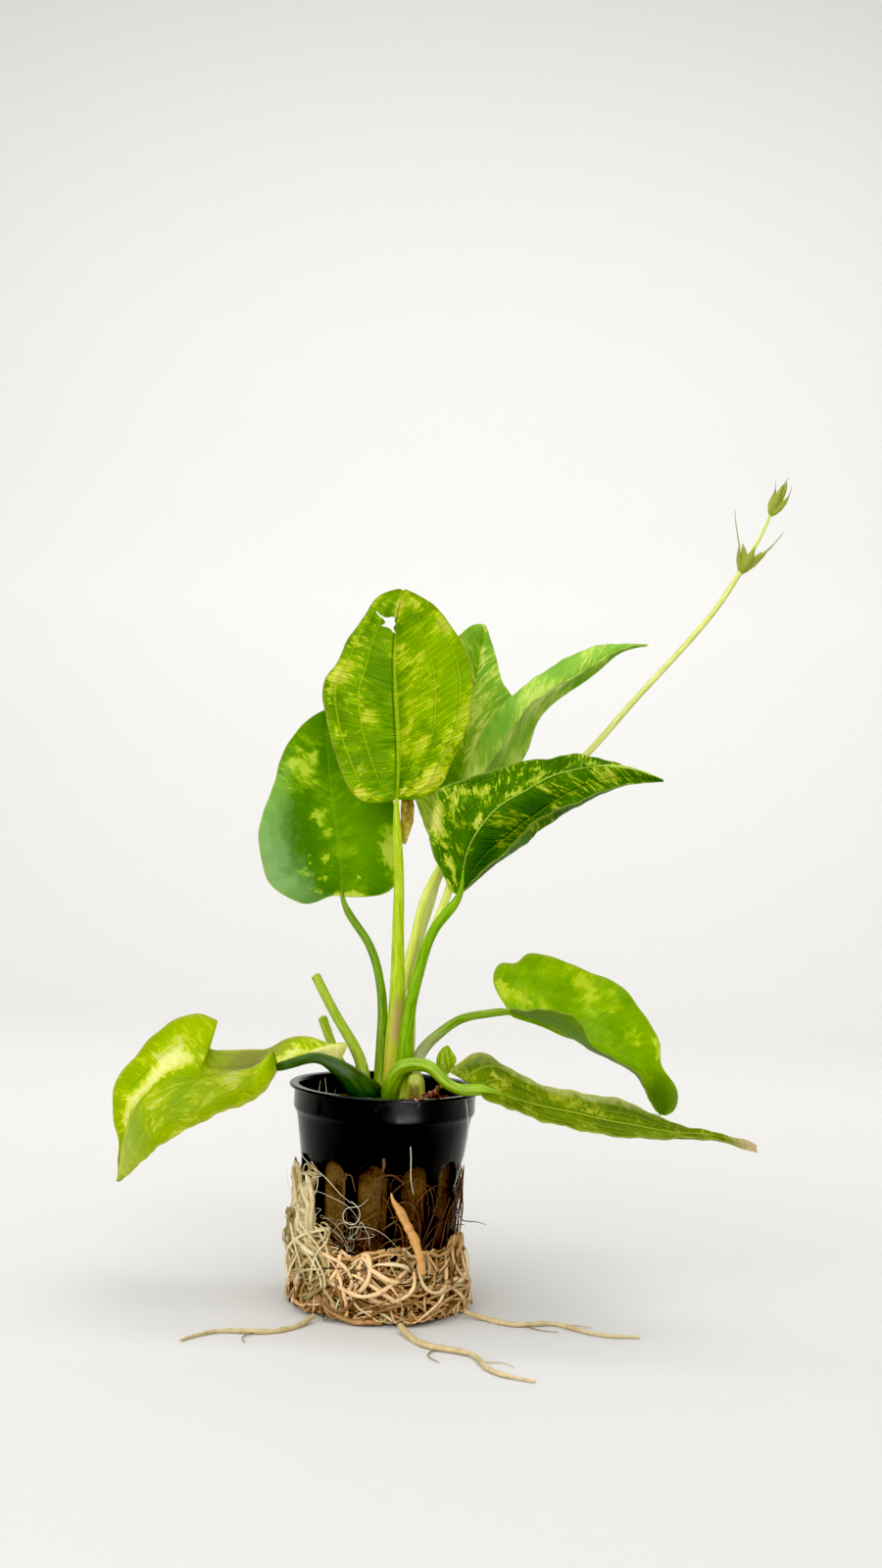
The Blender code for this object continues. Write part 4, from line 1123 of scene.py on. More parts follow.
LEAVES = [
    Leaf(
        name="top_leaf",
        stalk=[(2, -1.5, STALK_BASE), (2, -2.5, 68.5), (2, -3.5, 83.5), (1.5, -4, 96.5), (1, -4.5, 111.5),
            (0, -5, 130)],
        stalk_radius=1.25,
        midrib=[(-0.5, -5, 130.5), (-0.5, -5.5, 141), (-2, -6, 157), (-3, -5.5, 172.5), (-1.5, -4, 186)],
        left_margin=[(1.5, -4.5, 130.5), (6.5, -3, 131.5), (10.5, -2.5, 134.5), (13, -1.5, 140), (17, -1, 150.5),
            (18, -1, 158.5), (17, -1.5, 167.5), (11.5, -2.5, 177), (8, -3, 181), (2.5, -3.5, 184.5)],
        right_margin=[(-2, -4.5, 130), (-5.5, -3.5, 129.5), (-10, -2.5, 130), (-14.5, -2, 135), (-18, -0.5, 143.5),
            (-21, -1, 154), (-21.5, -1, 159), (-20.5, -1.5, 162.5), (-18, -2, 166), (-16, -2.5, 171),
            (-11, -3.5, 179), (-8, -4, 183.5)],
        left_bulge=[(0, 0), (0.5, 0.8), (1, 0.5)], right_bulge=[(0, 0), (0.5, 0.8), (1, 0.5)], tissue=TOP_TISSUE,
        under=TOP_TISSUE, stalk_finish=STAINED_STALK, seed=1.3, half_width=19.5, veins=(0.51, 0.83), pleat=0.40,
        patches=(Patch(0.0, 0.92, 0.24, 0.07, 0.5), Patch(0.6, 0.9, 0.2, 0.06, 0.5),
            Patch(0.88, 0.8, 0.16, 0.1, 0.45), Patch(-0.75, 0.74, 0.2, 0.07, 0.28),
            Patch(-0.85, 0.62, 0.24, 0.06, 0.4), Patch(-0.88, 0.55, 0.14, 0.06, 0.4),
            Patch(-0.4, 0.47, 0.12, 0.04, 0.28), Patch(0.12, 0.72, 0.2, 0.06, 0.22),
            Patch(0.35, 0.66, 0.15, 0.08, 0.22), Patch(0.55, 0.56, 0.1, 0.10, 0.22),
            Patch(0.15, 0.42, 0.1, 0.08, 0.22), Patch(0.08, 0.35, 0.12, 0.08, 0.22),
            Patch(0.42, 0.34, 0.16, 0.07, 0.26), Patch(0.35, 0.26, 0.12, 0.06, 0.22),
            Patch(0.92, 0.5, 0.14, 0.12, 0.5), Patch(0.88, 0.36, 0.2, 0.10, 0.5), Patch(0.82, 0.2, 0.3, 0.08, 0.5),
            Patch(0.55, 0.1, 0.5, 0.07, 0.6), Patch(0.28, 0.05, 0.3, 0.05, 0.5), Patch(-0.93, 0.14, 0.2, 0.05, 0.34),
            Patch(-0.7, 0.25, 0.14, 0.05, 0.28), Patch(-0.85, 0.4, 0.1, 0.05, 0.26),
            # Painted light and shade: the tint a4cc0c lightens the left margin's half, and the tints 4c7806, 507c06,
            # 5c8408 and 5a7c06 darken the right margin's half
            Patch(0.75, 0.6, 0.5, 0.35, 0.6, "a4cc0c"), Patch(-0.3, 0.88, 0.3, 0.1, 0.7, "4c7806"),
            Patch(-0.25, 0.62, 0.35, 0.22, 0.45, "507c06"), Patch(-0.55, 0.3, 0.35, 0.16, 0.5, "5c8408"),
            Patch(-0.8, 0.5, 0.14, 0.1, 0.5, "5a7c06"), Patch(0.3, 0.16, 0.2, 0.08, 0.5, "6c9408")),
        rows=190, fineness=44,
        hole=[(-8.5, 180.1), (-7.2, 178.7), (-5.9, 178.1), (-5, 178.1), (-4.4, 178.4), (-3.2, 178.2), (-3.2, 177),
            (-2.8, 176.2), (-3.5, 175.4), (-2.8, 173.6), (-3.9, 174.4), (-4.4, 175.1), (-5.2, 175.5), (-6.1, 175.7),
            (-7.2, 175.8), (-6.2, 176.2), (-5.7, 176.8), (-6.1, 177.4), (-6.8, 178), (-7.7, 178.6), (-8.3, 179.3)],
        flare=(2.1, 1.9, 1.55, 1.25, 1.05, 0.95, 0.8)),
    Leaf(
        name="left_back_leaf",
        stalk=[(-1.2, 0.8, STALK_BASE), (-1.5, 3, 68), (-2, 5, 77), (-3, 6.5, 82.5), (-7, 10, 92.5),
            (-14, 14, 103.5)],
        stalk_radius=1.1,
        midrib=[(-14.5, 14, 104), (-15.5, 15, 113), (-17.5, 16.5, 124), (-20, 18.5, 137.5), (-21.5, 20.5, 148),
            (-22, 22, 155.5)],
        left_margin=[(-17.5, 14.5, 104), (-21, 15.5, 102.5), (-25, 16, 101.5), (-28.5, 16.5, 102.5),
            (-32.5, 17.5, 104.5), (-35, 18.5, 106.5), (-38, 20, 114.5), (-39, 20.5, 119.5), (-37.5, 21.5, 127.5),
            (-35.5, 22, 134.5), (-34, 22, 141), (-30, 22, 149), (-25.5, 22.5, 153.5)],
        right_margin=[(-11, 13.5, 104), (-6.5, 13, 104.5), (-2, 12, 106), (0.5, 12, 109.5), (1, 12, 116.5),
            (-0.5, 13, 126), (-4, 14.5, 135), (-9, 17, 144.5), (-15, 19.5, 151.5)],
        left_bulge=[(0, 0), (0.1, 0), (0.5, 1.2), (1, 0.6)], right_bulge=[(0, 0), (0.1, 0), (0.5, -0.8), (1, -0.4)],
        tissue=BACK_TISSUE, under=BACK_TISSUE, stalk_finish=SHADED_STALK, seed=2.1, half_width=19.5, pleat=0.05,
        patches=(Patch(0.7, 0.74, 0.16, 0.04, 0.3), Patch(0.3, 0.76, 0.12, 0.04, 0.26),
            Patch(0.2, 0.5, 0.12, 0.04, 0.4), Patch(0.12, 0.42, 0.1, 0.04, 0.3), Patch(0.42, 0.34, 0.08, 0.03, 0.4),
            Patch(0.22, 0.3, 0.08, 0.04, 0.36), Patch(0.6, 0.28, 0.08, 0.03, 0.3), Patch(0.7, 0.18, 0.14, 0.04, 0.36),
            Patch(0.4, 0.2, 0.1, 0.03, 0.3), Patch(-0.85, 0.36, 0.25, 0.09, 0.7), Patch(-0.9, 0.3, 0.2, 0.06, 0.6),
            Patch(-0.42, 0.2, 0.06, 0.02, 1.0), Patch(0.75, 0.03, 0.5, 0.06, 0.8), Patch(-0.75, 0.05, 0.5, 0.05, 0.6),
            # Painted light: the tints 94bc78 and 8cbc58 paint a sheen near the left margin, and 6ca008 lightens the
            # part that lies in the top leaf's shadow
            Patch(0.5, 0.72, 0.4, 0.1, 0.25), Patch(1.0, 0.36, 0.5, 0.3, 0.7, "94bc78"),
            Patch(0.9, 0.6, 0.3, 0.2, 0.4, "8cbc58"), Patch(0.1, 0.1, 0.3, 0.15, 0.5, "3c7808"),
            Patch(-0.4, 0.42, 0.7, 0.4, 0.5, "6ca008"))),
    Leaf(
        name="tall_back_leaf",
        stalk=[(2.4, 3.2, STALK_BASE), (2.5, 5, 67.5), (3, 8, 80), (5.5, 11, 93.5), (8, 13.5, 105), (11, 16, 113.5)],
        stalk_radius=1.1,
        midrib=[(11.5, 16.5, 114), (14.5, 20, 128), (17, 25, 145), (19, 29.5, 164.5), (21.5, 33.5, 183)],
        left_margin=[(10, 16.5, 117.5), (7.5, 16.5, 123), (4, 16, 131), (1.5, 17.5, 139.5), (2, 20.5, 152),
            (4.5, 24, 165), (9.5, 27.5, 174.5), (14.5, 30, 179.5), (18, 32, 182.5)],
        right_margin=[(13, 16, 114), (17.5, 16.5, 117.5), (22.5, 17, 126), (27, 19, 137), (30.5, 21.5, 148),
            (31, 23.5, 156.5), (29.5, 25, 162), (27, 26.5, 165.5), (25, 29.5, 172.5), (23, 32, 178.5)],
        left_bulge=[(0, 0), (0.5, 0.8), (1, 0.4)], right_bulge=[(0, 0), (0.5, 0.8), (1, 0.4)], tissue=HAZY_TISSUE,
        under=HAZY_TISSUE, stalk_finish=PALE_STALK, seed=3.7, half_width=14.5, pleat=0.08,
        patches=(Patch(-0.2, 0.86, 0.3, 0.1, 0.2), Patch(-0.3, 0.6, 0.2, 0.05, 0.2), Patch(-0.7, 0.5, 0.2, 0.05, 0.3),
            Patch(-0.5, 0.3, 0.2, 0.06, 0.3))),
    Leaf(
        name="right_back_leaf",
        stalk=[(5.4, 1.6, STALK_BASE), (5.5, 4, 70), (6.5, 6, 83), (11, 7.5, 97.5), (14.5, 9, 108), (18, 10, 120)],
        stalk_radius=1.1,
        midrib=[(18.5, 10, 121), (24.5, 11.5, 130.5), (30, 13.5, 140), (34, 15, 147.5), (35.5, 16, 153),
            (41, 18, 160.5), (47.5, 20.5, 165.5), (54, 23, 171), (59, 25.5, 175.5), (69.5, 28.5, 178.5)],
        left_margin=[(16, 11.5, 123), (15, 14, 129.5), (16.5, 17, 137.5), (20.5, 19, 148.5), (25.5, 21, 157.5),
            (32.5, 22.5, 164.5), (43, 25, 172.5), (53.5, 26.5, 177.5), (62, 27.5, 178.5)],
        right_margin=[(17.5, 9, 123), (18.5, 6.5, 128.5), (21.5, 4.5, 137.5), (26.5, 5, 147), (32, 6, 156),
            (38.5, 9, 162), (47, 13, 167.5), (54.5, 19, 173), (61.5, 24, 177)],
        left_bulge=[(0, 0), (0.5, 1.5), (1, 0.5)], right_bulge=[(0, 0), (0.5, 1.5), (1, 0.5)], tissue=FAR_TISSUE,
        under=FAR_TISSUE, stalk_finish=PALE_STALK, seed=4.4, half_width=13.0, pleat=0.08,
        patches=(Patch(-0.7, 0.62, 0.3, 0.14, 0.3), Patch(0.1, 0.45, 0.3, 0.06, 0.2),
            Patch(-0.4, 0.16, 0.3, 0.1, 0.4)),
        last_share=0.975),
    Leaf(
        name="right_front_leaf",
        stalk=[(5, -4.5, STALK_BASE), (5, -6, 69), (5.5, -6.5, 76.5), (7.5, -7, 86.5), (11.5, -9.5, 98.5),
            (16.5, -12, 106)],
        stalk_radius=1.3,
        midrib=[(17, -12, 107), (17.5, -13, 113), (18.5, -14, 118.5), (21.5, -16, 124.5), (25.5, -18, 129.5),
            (31.5, -20, 133.5), (38, -23, 137.5), (44.5, -26, 139.5), (51.5, -29, 140.5), (58.5, -32, 139.5),
            (65.5, -35, 137)],
        left_margin=[(15, -11, 107), (13, -9.5, 110.5), (10.5, -8, 114.5), (9, -6, 118.5), (8.5, -5, 123.5),
            (9, -4.5, 128.5), (10, -5.5, 133), (14, -6.5, 135.5), (21.5, -9.5, 138), (29.5, -12.5, 141),
            (38, -16.5, 142.5), (45.5, -21.5, 143.5), (51.5, -26, 142), (58.5, -30.5, 139.5)],
        right_margin=[(18, -13, 108), (21.5, -17, 112.5), (27, -21, 117.5), (31.5, -25.5, 123), (35, -27.5, 126.5),
            (40.5, -30, 129.5), (46, -31.5, 132), (52.5, -32.5, 135), (59.5, -33.5, 136.5)],
        left_bulge=[(0, 0), (0.1, 0), (0.5, -1.2), (1, -0.5)],
        right_bulge=[(0, 0), (0.15, -4), (0.35, -8.5), (0.6, -5), (1, -0.5)],
        tissue=DARK_TISSUE, under=DARK_UNDER, stalk_finish=STALK_FINISH, seed=5.9, half_width=15.0,
        veins=(0.42, 0.84), right_curl=2.0, last_share=0.985,
        patches=(Patch(0.35, 0.6, 0.35, 0.07, 0.26), Patch(0.5, 0.68, 0.3, 0.06, 0.22),
            Patch(0.1, 0.5, 0.16, 0.05, 0.34), Patch(0.12, 0.34, 0.12, 0.03, 0.42), Patch(0.6, 0.42, 0.25, 0.05, 0.2),
            Patch(0.8, 0.36, 0.2, 0.06, 0.26), Patch(0.92, 0.24, 0.14, 0.07, 0.4), Patch(0.7, 0.2, 0.25, 0.06, 0.22),
            Patch(0.6, 0.1, 0.2, 0.08, 0.26), Patch(-0.35, 0.6, 0.3, 0.04, 0.24), Patch(-0.5, 0.48, 0.16, 0.03, 0.2),
            Patch(-0.45, 0.3, 0.16, 0.03, 0.26), Patch(0.3, 0.86, 0.4, 0.06, 0.22), Patch(-0.2, 0.8, 0.3, 0.05, 0.18),
            Patch(0.1, 0.94, 0.5, 0.04, 0.2), Patch(-0.35, 0.25, 0.4, 0.28, 0.4, "2c5408")),
        flare=(1.9, 1.6, 1.3, 1.1, 1.0, 0.95, 0.8)),
    Leaf(
        name="right_middle_leaf",
        stalk=[(7.6, -0.4, STALK_BASE), (7.4, -0.2, 58), (9, 2, 64.5), (13.5, 3, 69.5), (19.5, 5, 73.5), (26, 6, 75),
            (31.5, 7, 75.5)],
        stalk_radius=0.9,
        midrib=[(32, 7, 75.5), (35, 7.5, 74.5), (41.5, 8, 72.5), (47.5, 8.5, 70), (55, 9, 68.5), (61.5, 9, 65.5),
            (66.5, 9, 63), (70.5, 8.5, 58.5), (72.5, 8, 54), (74, 7, 50)],
        left_margin=[(30.5, 10, 77.5), (28.5, 12, 80.5), (27.5, 14.5, 84), (29, 16, 87.5), (33.5, 17.5, 88),
            (36.5, 18.5, 90.5), (41.5, 19, 90.5), (48, 19.5, 88.5), (55.5, 19.5, 86), (62.5, 18.5, 83),
            (67, 17, 78.5), (71, 15.5, 73), (73.5, 14, 67), (74, 12, 62.5), (77, 10.5, 58.5), (78, 9, 55),
            (77, 8, 51.5)],
        right_margin=[(32, 5, 76.5), (35.5, 1, 77), (40.5, -1.5, 77.5), (46.5, -3, 77), (50, -3.5, 74.5),
            (53.5, -3, 69), (60, -2, 65.5), (65.5, 0, 62), (69, 2.5, 56.5), (71, 5, 52.5)],
        left_bulge=[(0, 0), (0.1, 0), (0.5, -1.5), (1, -0.5)], right_bulge=[(0, 0), (0.1, 0), (0.5, -1.5), (1, -0.5)],
        tissue=FRESH_TISSUE, under=FRESH_UNDER, stalk_finish=ARCHED_STALK, seed=6.6, half_width=16.0, pleat=0.04,
        patches=(Patch(0.85, 0.14, 0.2, 0.04, 0.36), Patch(0.5, 0.2, 0.25, 0.06, 0.3),
            Patch(0.25, 0.3, 0.3, 0.05, 0.24), Patch(0.75, 0.45, 0.3, 0.06, 0.26), Patch(0.7, 0.56, 0.25, 0.05, 0.24),
            Patch(0.35, 0.5, 0.2, 0.05, 0.2), Patch(0.5, 0.68, 0.25, 0.05, 0.24), Patch(0.9, 0.76, 0.1, 0.03, 0.45),
            # Painted shade: the tint 4a6a10 paints the tip in the dark green of its turned-over underside in shade
            Patch(0.3, 0.62, 0.35, 0.07, 0.5, "5c8c08"), Patch(0.0, 0.96, 1.8, 0.2, 1.0, "4a6a10"),
            Patch(-0.75, 0.3, 0.6, 0.4, 0.9, "6c8c30"), Patch(-0.75, 0.7, 0.6, 0.4, 0.9, "6c8c30")),
        flare=(2.2, 1.9, 1.6, 1.35, 1.2, 1.15, 1.0)),
    Leaf(
        name="right_low_leaf",
        stalk=[(1.4, -6, STALK_BASE), (2.5, -7.5, 59), (4.5, -9, 62), (8.5, -10, 63), (11.5, -11, 62.5),
            (15.5, -12.5, 59.2), (19.5, -13.8, 57.7), (23.5, -14.8, 57.7)],
        stalk_radius=1.15,
        midrib=[(24, -14.5, 58), (32, -15, 56.5), (39, -16, 55), (47, -17, 54), (56, -18, 52.5), (64.5, -19, 51.5),
            (73.5, -20, 50.5), (82, -21, 50.5), (88, -22, 49.5), (92.5, -22, 48.2), (96, -22.2, 46.6)],
        left_margin=[(22, -12.6, 59.4), (18.5, -10.8, 60.6), (16.5, -9.5, 61.5), (18, -8, 63), (21, -6, 65),
            (24.5, -5, 66), (28.5, -5.5, 64.5), (32, -6, 62.5), (38.5, -6.5, 59.5), (50.5, -8.5, 57.5),
            (64, -11, 55.5), (72, -15, 52.5), (78.5, -17.5, 51.5), (86.5, -20.6, 50.4), (92, -21, 49.2)],
        right_margin=[(25.5, -17.5, 56), (29, -20.5, 55.5), (34.5, -24, 54), (40.5, -25.5, 52.5), (46.5, -26.5, 51.5),
            (55, -27.5, 50.5), (63.5, -26.5, 50), (73, -24.5, 50), (81.5, -23.5, 50), (87.5, -23, 48.5),
            (92, -22.8, 47.2)],
        left_bulge=[(0, 0), (0.1, 0), (0.5, -1.2), (1, -0.3)], right_bulge=[(0, 0), (0.1, 0), (0.5, -1), (1, -0.3)],
        tissue=OLIVE_TISSUE, under=OLIVE_TISSUE, stalk_finish=LOW_STALK, seed=7.7, half_width=11.0, last_share=0.965,
        patches=(Patch(0.4, 0.14, 0.25, 0.05, 0.26), Patch(0.5, 0.22, 0.3, 0.04, 0.26),
            Patch(0.3, 0.52, 0.4, 0.05, 0.28), Patch(-0.3, 0.24, 0.3, 0.05, 0.2), Patch(-0.5, 0.45, 0.3, 0.05, 0.2),
            Patch(0.3, 0.75, 0.4, 0.05, 0.2), Patch(-0.45, 0.5, 0.35, 0.3, 0.4, "647c0c"),
            Patch(-0.95, 0.4, 0.14, 0.4, 0.6, "a4bc40"), Patch(0.95, 0.45, 0.16, 0.3, 0.7, "c0c478")),
        flare=(2.0, 1.8, 1.5, 1.3, 1.25, 1.3, 1.1)),
    Leaf(
        name="left_low_leaf",
        stalk=[(-3.4, -4, STALK_BASE), (-6.5, -5.5, 56), (-9, -7, 58.5), (-12, -9, 61), (-14.5, -10, 62.5),
            (-17.5, -11, 63.5), (-21.5, -12.3, 62.8), (-24.5, -13, 61.8), (-27, -12.8, 61.2)],
        stalk_radius=1.1,
        midrib=[(-27, -12.5, 61), (-32.5, -13, 59.5), (-39, -13.5, 59), (-46.5, -14, 58), (-53, -15, 57),
            (-59, -15.5, 53.5), (-63, -15.5, 48), (-65, -15, 39.5), (-65.5, -14, 30.5)],
        left_margin=[(-27, -17, 60.5), (-28.5, -19.5, 57.5), (-31.5, -21.5, 54), (-36.5, -23.5, 52), (-42, -25, 49.5),
            (-47.5, -26, 46.5), (-54, -24.5, 42), (-59, -20, 37)],
        right_margin=[(-12.5, -5.5, 61.5), (-11, -4.5, 64), (-10.5, -3.5, 66.5), (-13, -3, 66.5), (-17, -2.5, 67),
            (-20.5, -2, 67.5), (-23.5, -1.5, 67.5), (-26.5, -1, 66.5), (-29.5, -0.5, 65), (-33.5, 0.5, 63.5),
            (-38.5, 1, 63), (-43.5, 1, 62.5), (-47, 0.5, 64), (-47.3, 0.5, 66.5), (-45.6, 0.1, 69.2),
            (-44.7, 0, 70.3), (-46.4, -0.4, 71.2), (-49, -1, 72), (-54, -2.5, 71.5), (-59, -4.5, 68),
            (-62, -6.5, 64.5), (-65, -8.5, 60.5), (-68.5, -10.5, 55.5), (-68.5, -12, 51), (-68, -13, 46),
            (-66.5, -13.5, 40.5), (-66, -14.5, 35.5)],
        left_bulge=[(0, 5), (0.1, 5.5), (0.5, 4), (1, 1)], right_bulge=[(0, 1.5), (0.1, 0.5), (0.5, -4), (1, -2)],
        tissue=YELLOW_TISSUE, under=YELLOW_UNDER, stalk_finish=DARK_STALK, seed=8.8, half_width=15.0, left_lobe=True,
        right_lobe=True, rows=150, veins=(0.34, 0.66),
        patches=(Patch(-0.45, 0.6, 0.35, 0.12, 0.62), Patch(-0.3, 0.7, 0.3, 0.08, 0.5),
            Patch(-0.75, 0.42, 0.08, 0.02, 1.3), Patch(-0.95, 0.03, 0.35, 0.06, 1.0),
            Patch(0.5, 0.45, 0.5, 0.4, 0.12), Patch(-0.4, 0.8, 0.3, 0.08, 0.4),
            # Painted shade: the tints 84843c and 6c6440 darken the valley near the base
            Patch(-0.9, 0.5, 0.4, 0.2, 0.5, "a8c404"), Patch(-0.6, 0.28, 1.1, 0.13, 1.0, "84843c"),
            Patch(0.55, 0.35, 0.9, 0.45, 0.45, "68801c"), Patch(0.4, 0.9, 0.9, 0.25, 0.6, "b4c060"),
            Patch(-0.3, 0.22, 0.4, 0.06, 0.8, "6c6440"), Patch(-0.6, 0.12, 0.4, 0.05, 0.5),
            Patch(0.9, 0.1, 0.3, 0.1, 0.6, "b4cc20")),
        flare=(3.4, 3.0, 2.1, 1.3, 1.1, 1.05, 1.0)),
    Leaf(
        name="new_leaf",
        stalk=[(12.5, -5, 50), (13.5, -5, 56), (15, -5.5, 57.5), (16, -6, 59.5)],
        stalk_radius=0.5,
        midrib=[(16, -6, 60), (15, -5.5, 61.5), (14.5, -5, 64), (15, -4.5, 66), (16, -4, 67.5)],
        left_margin=[(14.5, -5, 60.5), (13, -4, 62.5), (13.5, -3.5, 65.5), (14.5, -3.5, 66.5)],
        right_margin=[(17.5, -7, 62.5), (18, -7.5, 64), (17, -6.5, 66)],
        left_bulge=[(0, 0), (1, 0)], right_bulge=[(0, 0), (1, 0)], tissue=NEW_TISSUE, under=NEW_TISSUE,
        stalk_finish=PALE_STALK, seed=9.1, half_width=2.5, rows=50, veins=(0.5,), rib=0.3, thickness=0.3,
        last_share=0.97, flare=(1.2, 1.1, 1.0, 1.0, 1.0, 1.0, 0.9)),
]


# Stems, buds and cut stalks


@dataclass
class Stem:
    """A round piece along a route: its points and its radius at each of them."""

    name: str
    route: list[Point]
    radii: list[float]
    finish: Stalk | RootBark
    slot: str
    nodes: tuple[str, ...]
    ribs: int = 5
    rib_depth: float = 0.05
    rings: int = 60
    sides: int = 18
    wobble: float = 0.0
    # Finer threads that start on the piece: (route, radius) pairs
    threads: tuple[tuple[list[Point], float], ...] = ()

    def build(self) -> None:
        """Builds and dresses the piece."""
        curve = smooth_route(self.route, self.rings)
        marks = walked(np.array(self.route, float))
        radii = np.interp(np.linspace(0, 1, self.rings), marks / marks[-1], self.radii)
        if self.wobble:
            for ring, centre in enumerate(curve):
                swing = Vector(centre) * 0.35
                curve[ring] += self.wobble * np.array(noise.noise_vector(swing)) * [1, 1, 0.15]
                radii[ring] *= 1 + 0.3 * noise.noise(swing * 2.5)
        shape = Shape()
        shape.add(*swept(curve, radii, self.sides, self.ribs, self.rib_depth, shade=0.5))
        for number, (route, radius) in enumerate(self.threads):
            taper = radius * np.linspace(1, 0.4, 30)
            shape.add(*swept(smooth_route(route, 30), taper, 6, shade=(number * 0.37) % 1))
        settle(shape.make(self.name), self.slot, self.nodes, self.finish.material(self.name))


STEMS = [
    Stem("fine_cut_stalk_tall",
        [(-3.6, -1.2, 52), (-4.8, -0.6, 54.5), (-6.5, 1, 60.5), (-13, 3, 71.5), (-20, 5, 83)],
        [2.2, 1.9, 1.55, 1.3, 1.25], CUT_STALK, "leaf_stalk", ("cut_stalk_tall",)),
    Stem("fine_cut_stalk_short",
        [(-7.4, 5.6, 50), (-8, 5.8, 55.5), (-11, 7, 58.5), (-14.5, 9, 63.5), (-18, 10, 71.5)],
        [1.9, 1.5, 1.3, 1.2, 1.25], CUT_STALK, "leaf_stalk", ("cut_stalk_short",)),
    Stem("fine_cut_stump",
        [(8.4, -9.6, 49.5), (8.2, -9.7, 55.5), (8, -9.8, 58.8), (7.8, -10, 60.2)],
        [2.1, 2.4, 2.2, 1.6], STUMP_FINISH, "leaf_stalk", ("cut_stump",), rib_depth=0.03, rings=30),
    Stem("fine_flower_stem",
        [(5.5, 5.5, 53.5), (6, 8, 70), (5.5, 11, 82.5), (7.5, 15, 95.5), (10, 18, 105), (11.5, 20, 110.5),
         (16, 21.5, 116.5), (23.5, 23, 123), (35.5, 24, 133), (45, 24, 140.5), (51.5, 24, 147), (62, 24, 160),
         (72, 23, 172), (81, 22, 183), (87, 21.5, 191.5), (91.4, 21, 199.2)],
        [1.3, 1.15, 1.1, 1.1, 1.1, 1.05, 1.05, 1.0, 1.0, 0.95, 0.95, 0.9, 0.85, 0.85, 0.8, 0.8], FLOWER_FINISH,
        "flower_stalk", ("flower_stem",), ribs=3, rib_depth=0.06, rings=120),
    Stem("fine_flower_stem_tip",
        [(94, 21, 204), (95, 21, 206), (97, 21, 210), (99, 20.5, 215.5)],
        [0.55, 0.5, 0.42, 0.42], FLOWER_FINISH, "flower_stalk", ("flower_stem_tip",), rings=24, sides=12),
]


@dataclass
class BudKnot:
    """A knot of flower buds in thin green bracts, with dry awns that reach out of it."""

    name: str
    nodes: tuple[str, ...]
    # Each bract or bud: its route and its fullest radius
    bracts: list[tuple[list[Point], float]]
    awns: list[tuple[list[Point], float]]
    depth: float = 0.7

    def build(self) -> None:
        """Builds the bracts and buds, then the awns."""
        shape = Shape()
        for route, radius in self.bracts:
            radii = profiled(radius, 18, [0, 0.12, 0.4, 0.75, 1], [0.35, 0.8, 1.0, 0.55, 0.06])
            shape.add(*swept(smooth_route(route, 18), radii, 12, ribs=4, rib_depth=0.10, flat=self.depth))
        for route, radius in self.awns:
            shape.add(*swept(smooth_route(route, 26), radius * np.linspace(1, 0.25, 26), 6), slot=1)
        bud, awn = BUD_FINISH.material(self.name), AWN_FINISH.material(self.name + "_awn")
        settle(shape.make(self.name), "flower_bud", self.nodes, bud, awn)


KNOTS = [
    BudKnot("fine_flower_whorl", ("flower_whorl",), [
        ([(91.2, 21, 198.6), (92.4, 20.6, 201), (93.6, 20.4, 203.4), (94.6, 20.2, 205.6)], 1.35),
        ([(91.4, 21, 199), (92.2, 21.6, 202), (92.4, 22.2, 205), (92.0, 22.6, 207.6)], 1.25),
        ([(91.6, 20.8, 199), (94, 20.2, 201.4), (96.4, 19.8, 203.4), (98.6, 19.4, 205.4)], 1.2),
        ([(91.4, 21.4, 199), (93.4, 22.4, 201.6), (95.8, 23.2, 203.6), (97.6, 23.6, 205.6)], 1.15),
        ([(91.4, 20.4, 199), (92.6, 19, 201.2), (93.8, 18, 203.4), (94.4, 17.4, 205.8)], 1.0),
        ([(91.4, 21, 199), (90.9, 20.8, 202), (90.7, 20.8, 204.6), (90.9, 20.8, 207)], 0.7),
    ], [
        ([(91.4, 21, 201), (90.8, 21.2, 207), (89.9, 21.6, 212), (89.4, 22, 217)], 0.28),
        ([(96, 20, 203.4), (98.6, 19.6, 205.6), (101, 19.6, 208.2), (103, 19.8, 211)], 0.26),
        ([(96.4, 22.6, 203.8), (98.4, 22.8, 205.2), (100.4, 23, 207.2), (101.8, 23, 209.2)], 0.2),
    ]),
    BudKnot("fine_top_buds", ("top_buds",), [
        ([(99, 20.5, 215.2), (100.2, 20.4, 218), (101.2, 20.4, 221), (102, 20.3, 224)], 1.3),
        ([(99.2, 20.5, 215.4), (101.2, 20, 217.4), (102.8, 19.7, 219.2), (104, 19.6, 221)], 0.95),
        ([(99.1, 20.5, 215.6), (99.4, 21, 218.4), (100, 21.4, 221), (100.6, 21.6, 223)], 0.95),
        ([(99.6, 20.5, 217.4), (101.4, 20.7, 220.2), (102.8, 20.8, 222.8), (103.4, 20.8, 225.2)], 1.0),
        ([(99.2, 20.4, 216), (100, 19.4, 218.6), (100.8, 18.8, 220.8), (101.6, 18.6, 222.6)], 0.8),
    ], [
        ([(102, 20.4, 223), (102.9, 20.3, 225), (103.8, 20.2, 226.3)], 0.22),
        ([(103.4, 19.7, 220), (104.2, 19.6, 222), (104.6, 19.6, 223.8)], 0.2),
        ([(100.2, 21.4, 222), (100.4, 21.6, 224), (100.5, 21.8, 225.6)], 0.18),
    ]),
]


# Net pot, mineral wool and crown


